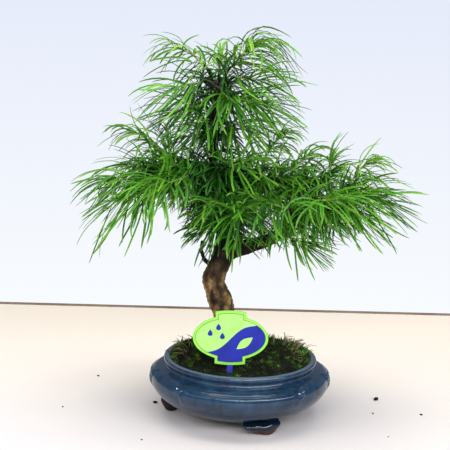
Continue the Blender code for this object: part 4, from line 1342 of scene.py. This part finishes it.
# %% [markdown]
# A needle is a living leaf with a thin waxy skin: mid green, half glossy, and a little
# light passes through it. No two are quite alike, so each copy carries a number of its own
# for its tint, and a second one runs from 0 at its root to 1 at its tip, where it pales.

# %% Four greens of needles


def needle_material(name, dark, middle, light, tip, root):
    """A thin waxy leaf: three tints from needle to needle, and its own shades at both ends."""
    material, shader = new_material(name, Roughness=0.48, Specular_IOR_Level=0.26, Subsurface_Weight=0.06,
                                    Subsurface_Scale=0.8 * MM)
    tint = add_node(material, "Attribute", attribute_name="tint", out="Fac")
    along = add_node(material, "Attribute", attribute_name="along", out="Fac")
    tone = add_node(material, "ValToRGB", {"Fac": tint}, stops=((0.0, dark), (0.5, middle), (1.0, light)))
    near_tip = add_node(material, "MapRange", {"Value": along, "From Min": 0.75, "To Max": 0.55})
    near_root = add_node(material, "MapRange", {"Value": along, "From Min": 0.2, "From Max": 0.0,
                                                "To Max": 0.6})
    for share, hex_value in ((near_tip, tip), (near_root, root)):
        tone = add_node(material, "Mix", {"Factor": share, "A": tone, "B": colour(hex_value)},
                        data_type="RGBA")
    place = add_node(material, "TexCoord", out="Object")
    wax = add_node(material, "TexNoise", {"Vector": place, "Scale": per_mm(1.2), "Detail": 2.0})
    surface(material, shader, tone, wax, 0.08)
    return material


# Two of these greens are darker copies of the grown one, as painted shade: the shaded green for needles
# inside the crown, and a lighter half shade for sheltered shoots and the boughs' rosettes.
inner_green = needle_material("shaded_needles", "#123808", "#1C540E", "#327818", "#488A2A", "#184A0C")
grown_green = needle_material("grown_needles", "#235D0A", "#418711", "#6AAA24", "#86B046", "#337812")
half_shaded_green = needle_material("painted_half_shade_needles", "#1E530A", "#33750D", "#589D1A", "#70A632", "#2A6C10")
young_green = needle_material("young_needles", "#3B7A13", "#5A961E", "#7EB230", "#8CB44A", "#5E962A")

# %% Clothe every shoot
# These shoots get the darker green of painted half shade.
PAINTED_SHADE_SHOOTS = ("apex_front", "apex_left_low", "crown_front_left", "crown_left", "centre_front",
             "right_front_inner", "lower_left", "lower_back")
# How far a single needle may wander towards the back or the front on its way.
DRIFT = 13.0

rng = random.Random(60)
drifts = random.Random(5)
total = 0
for shoot in SHOOTS:
    count = round(shoot.needles * DENSITY)
    lines = [needle_line(shoot, i, count, rng) for i in range(count)]
    for places in SINGLE.get(shoot.name, ()):
        drift = drifts.uniform(-DRIFT, DRIFT)
        lines.append(through(*(Vector(p) + Vector((0, drift * i * i / 9, 0)) for i, p in enumerate(places))))
    widths = needle_widths(shoot.habit, len(lines), rng)
    spray = bent_copies(f"needles_{shoot.name}", needle_shape, lines, widths, rng)
    green, slot = grown_green, "needles"
    if shoot.name in PAINTED_SHADE_SHOOTS:
        green = half_shaded_green
    if shoot.habit in ("young", "fountain"):
        green, slot = young_green, "young_needles"
    hand_in(spray, green, slot, f"spray_{shoot.name}")
    total += len(lines)
print(total, "needles on the shoots")

# %% [markdown]
# ## Stems, buds and dead straws
# The needles of a shoot grow from this year's stem, a slim green rod that tapers to its
# bud. One straight rod is modelled in eight sides, and a copy of it is bent along each
# shoot. Scaly brown buds sit in the fork at the top of the tree. A few dead straws of grass
# lie in the moss near its edge: they are needles of half the width in another colour.

# %% Stems
STEM_R = 1.0
STEM_STEPS = [(0.0, 1.0), (0.33, 0.9), (0.67, 0.75), (1.0, 0.5)]

# This year's bark is thin, green and only half dull.
stem_green = mottled("green_shoot_bark", (5, 4.0), ((0.35, "#6E7C34"), (0.6, "#90A850")), (0.9, 4.0, 0.2),
                     Roughness=0.6)
rod_shape = straight_shape("rod", 8, 1.0, STEM_STEPS)
lines = [through(*(stem_point(shoot, i / 3) for i in range(4))) for shoot in SHOOTS]
stems = bent_copies("green_stems", rod_shape, lines, [2 * STEM_R] * len(lines), rng)
hand_in(stems, stem_green, "needles")

# %% Buds at the top
# Their place and radius in millimetres.
BUDS = [(-29, -22, 339, 1.3), (-34, -20, 343, 1.6), (-31, -25, 346, 1.5), (-27, -22, 343, 1.3),
        (-33, -26, 338, 1.2)]
BUD_STRETCH = 1.7

# Dry brown scales, as dull as bark.
bud_brown = mottled("bud_scales", (2.5, 4.0), ((0.35, "#140A07"), (0.65, "#3A2118")), (1.0, 4.0, 0.4),
                    Roughness=0.95)
buds = []
for x, y, z, radius in BUDS:
    bpy.ops.mesh.primitive_uv_sphere_add(segments=12, ring_count=8, radius=radius * MM,
                                         location=(x * MM, y * MM, z * MM),
                                         rotation=(0.5, 0.02 * (x + 30), 0))
    buds.append(named("bud"))
    buds[-1].scale.z = BUD_STRETCH
pick(*buds)
bpy.ops.object.join()
buds = named("winter_buds")
settle(buds)
smooth(buds, 60)
hand_in(buds, bud_brown, "bark")

# %% Straws in the moss
STRAWS = 80
STRAW_W = 1.1
STRAW_LENGTH = (11, 25)
# They lie in four directions from the pot's axis, in degrees, and this far out in mm.
STRAW_ANGLES = (12, 158, 190, 40)
STRAW_RING = (52, 69)

# Dry grass is bleached in places and dull all over.
straw_tan = mottled("dead_grass", (6, 4.0), ((0.35, "#3E3320"), (0.65, "#94824F")), (0.7, 4.0, 0.1),
                    Roughness=0.8)
lines = []
for i in range(STRAWS):
    angle = math.radians(STRAW_ANGLES[i % len(STRAW_ANGLES)] + rng.gauss(0, 14))
    radius = rng.uniform(*STRAW_RING)
    above = round_axis(radius, angle, 90) * MM
    hit, spot, normal, _ = felt.ray_cast(above, -UP)
    if not hit:
        continue
    heading = angle + rng.gauss(0, 0.6)
    out = round_axis(1, heading, 0)
    root = spot / MM - UP * 0.5
    length = rng.uniform(*STRAW_LENGTH)
    pull = root + (out * 0.3 + UP * 0.8) * length * 0.5
    reach = root + (out * 0.7 + UP * rng.uniform(0.35, 0.75)) * length * 0.75
    lines.append((root, pull, reach, reach + (out * 0.4 + UP * rng.uniform(-0.3, 0.15)) * length * 0.4))
straws = bent_copies("dead_straws", needle_shape, lines, [STRAW_W] * len(lines), rng)
hand_in(straws, straw_tan, "moss")

# %% [markdown]
# ## Spur shoots
# Along its older wood a larch has spurs: stubby side shoots that only grow a rosette of
# needles each year. They fill the inside of the crown. Their places are picked at random
# on the finished bark, well apart from each other, and each rosette opens along the bark's
# own outward direction there.

# %% Where the rosettes stand
ROSETTES = 262
ROSETTE_TRIES = 40000
ROSETTE_GAP = 6.0
# Above this height the crown is open, and the rosettes stand further apart.
OPEN_ABOVE_Z = 262.0
OPEN_GAP = 1.4
# The wood is bare up to here, the left side of the trunk further up, and undersides too.
LOWEST_Z = 200.0
LEFT_X = -30.0
LEFT_LOWEST_Z = 232.0
UNDERSIDE_LOWEST_Z = 225.0


def may_grow(point, normal):
    """Whether a spur may grow at this point of the bark."""
    lowest = LEFT_LOWEST_Z if point.x < LEFT_X * MM else LOWEST_Z
    return point.z > lowest * MM and (normal.z > -0.3 or point.z > UNDERSIDE_LOWEST_Z * MM)


rng = random.Random(77)
spots = []
candidates = [vertex for vertex in wood.data.vertices if may_grow(vertex.co, vertex.normal)]
for _ in range(ROSETTE_TRIES):
    vertex = rng.choice(candidates)
    spot = vertex.co / MM
    gap = ROSETTE_GAP * (OPEN_GAP if spot.z > OPEN_ABOVE_Z else 1)
    if all((spot - other).length > gap for other, _ in spots):
        spots.append((spot.copy(), vertex.normal.copy()))
    if len(spots) == ROSETTES:
        break
print(len(spots), "rosettes")

# %% Their needles
ROSETTE_NEEDLES = 12
ROSETTE_LENGTH = 46.0
SHORT_ABOVE_Z = 270.0
SHORT = 0.75
TRUNK_HALF_W = 30.0

lines = {"trunk": [], "boughs": []}
for spot, normal in spots:
    axis = (normal + Vector((0, 0, 0.25))).normalized()
    length = ROSETTE_LENGTH * rng.uniform(0.75, 1.1) * (SHORT if spot.z > SHORT_ABOVE_Z else 1)
    rosette = Shoot("rosette", spot - axis, spot + axis * 4, ROSETTE_NEEDLES, length, "spur")
    where = "trunk" if abs(spot.x - TRUNK_X) < TRUNK_HALF_W else "boughs"
    lines[where] += [needle_line(rosette, i, ROSETTE_NEEDLES, rng) for i in range(ROSETTE_NEEDLES)]
# Rosettes by the trunk get the painted shade of the shaded green, and those on the boughs the lighter painted
# half shade.
for where, green in (("trunk", inner_green), ("boughs", half_shaded_green)):
    widths = needle_widths("spur", len(lines[where]), rng)
    hand_in(bent_copies(f"spur_rosettes_{where}", needle_shape, lines[where], widths, rng), green, "needles")
